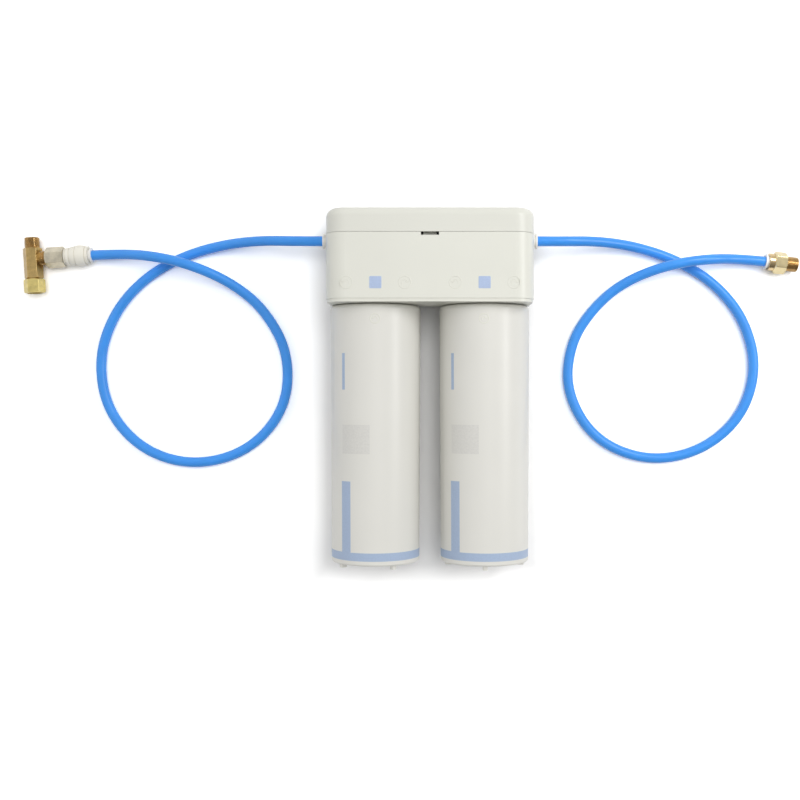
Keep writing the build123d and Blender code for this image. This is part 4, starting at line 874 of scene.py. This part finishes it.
def make_floor():
    """A plain pale floor that keeps the shadows, with painted shade close to the object, and shows white
    further out where no shadow falls.
    """
    mesh = bpy.data.meshes.new("floor")
    corners = ((-1, -1), (1, -1), (1, 1), (-1, 1))
    verts = [(x * FLOOR_REACH, y * FLOOR_REACH, -FLOOR_DROP) for x, y in corners]
    mesh.from_pydata(verts, [], [(0, 1, 2, 3)])
    floor = bpy.data.objects.new("floor", mesh)
    bpy.context.scene.collection.objects.link(floor)
    material, tree, shader = new_material("floor_white")
    nodes, links = tree.nodes, tree.links
    rays = nodes.new("ShaderNodeLightPath")
    chosen = nodes.new("ShaderNodeMixShader")
    links.new(rays.outputs["Is Camera Ray"], chosen.inputs["Fac"])
    lit, seen = (nodes.new("ShaderNodeBsdfDiffuse") for _ in range(2))
    lit.inputs["Color"].default_value = (FLOOR_WHITE, FLOOR_WHITE, FLOOR_WHITE, 1)
    links.new(floor_level(tree), seen.inputs["Color"])
    links.new(lit.outputs["BSDF"], chosen.inputs[1])
    links.new(seen.outputs["BSDF"], chosen.inputs[2])
    links.new(chosen.outputs["Shader"], nodes["Material Output"].inputs["Surface"])
    nodes.remove(shader)
    mesh.materials.append(material)


def sloped_sky(tree, level, slope):
    """A sky whose level changes evenly along a slope, and never falls under the least."""
    rise = Vector(slope).length
    place = tree.nodes.new("ShaderNodeTexCoord")
    share = tree.nodes.new("ShaderNodeVectorMath")
    share.operation = "DOT_PRODUCT"
    share.inputs[1].default_value = tuple(Vector(slope) / rise)
    tree.links.new(place.outputs["Generated"], share.inputs[0])
    total = spread(tree, share.outputs["Value"], level - rise, level + rise, start=-1.0)
    return math_node(tree, "MAXIMUM", total, SKY_LEAST)


def make_world():
    """A plain studio surround, white where the camera sees it."""
    world = bpy.data.worlds.new("studio")
    bpy.context.scene.world = world
    world.use_nodes = True
    tree = world.node_tree
    nodes, links = tree.nodes, tree.links
    rays = nodes.new("ShaderNodeLightPath")
    backgrounds = [nodes["Background"], nodes.new("ShaderNodeBackground"), nodes.new("ShaderNodeBackground")]
    for background in backgrounds:
        background.inputs["Color"].default_value = (1, 1, 1, 1)
        background.inputs["Strength"].default_value = 1.0
    soft, gloss, white = backgrounds
    links.new(sloped_sky(tree, *SOFT_SKY), soft.inputs["Strength"])
    links.new(sloped_sky(tree, *GLOSS_SKY), gloss.inputs["Strength"])
    shown = soft.outputs["Background"]
    for kind, seen in (("Is Glossy Ray", gloss), ("Is Camera Ray", white)):
        chosen = nodes.new("ShaderNodeMixShader")
        links.new(rays.outputs[kind], chosen.inputs["Fac"])
        links.new(shown, chosen.inputs[1])
        links.new(seen.outputs["Background"], chosen.inputs[2])
        shown = chosen.outputs["Shader"]
    links.new(shown, nodes["World Output"].inputs["Surface"])


def place_light(lamp, place, facing):
    """Puts a lamp in the scene, turned away from a direction."""
    light = bpy.data.objects.new(lamp.name, lamp)
    light.location = place
    light.rotation_mode = "QUATERNION"
    light.rotation_quaternion = Vector(facing).to_track_quat("Z", "Y")
    bpy.context.scene.collection.objects.link(light)
    return light


def make_lights():
    """The softboxes, and the broad lights, which gloss doesn't see."""
    for name, (place, size, power) in SOFTBOXES.items():
        softbox = bpy.data.lights.new(name, "AREA")
        softbox.shape = "RECTANGLE"
        softbox.size, softbox.size_y = size
        softbox.energy = power
        place_light(softbox, place, place)
    for name, (slope, strength, spread_deg) in BROAD_LIGHTS.items():
        broad = bpy.data.lights.new(name, "SUN")
        broad.energy = strength
        broad.angle = math.radians(spread_deg)
        place_light(broad, (0, 0, 0), slope).visible_glossy = False


def make_camera():
    """The photograph's viewpoint."""
    data = bpy.data.cameras.new("photo_camera")
    data.lens = CAMERA_LENS
    data.sensor_width = CAMERA_SENSOR
    data.sensor_fit = "HORIZONTAL"
    data.shift_x, data.shift_y = CAMERA_SHIFT
    data.clip_start = CAMERA_NEAR
    camera = bpy.data.objects.new("photo_camera", data)
    camera.location = CAMERA_PLACE
    bpy.context.scene.collection.objects.link(camera)
    bpy.context.scene.camera = camera


make_camera()
make_floor()
make_world()
make_lights()
dress_frame()
make_tubes()
make_header_marks()
make_cartridge_marks()

bpy.context.scene.view_settings.view_transform = "Standard"
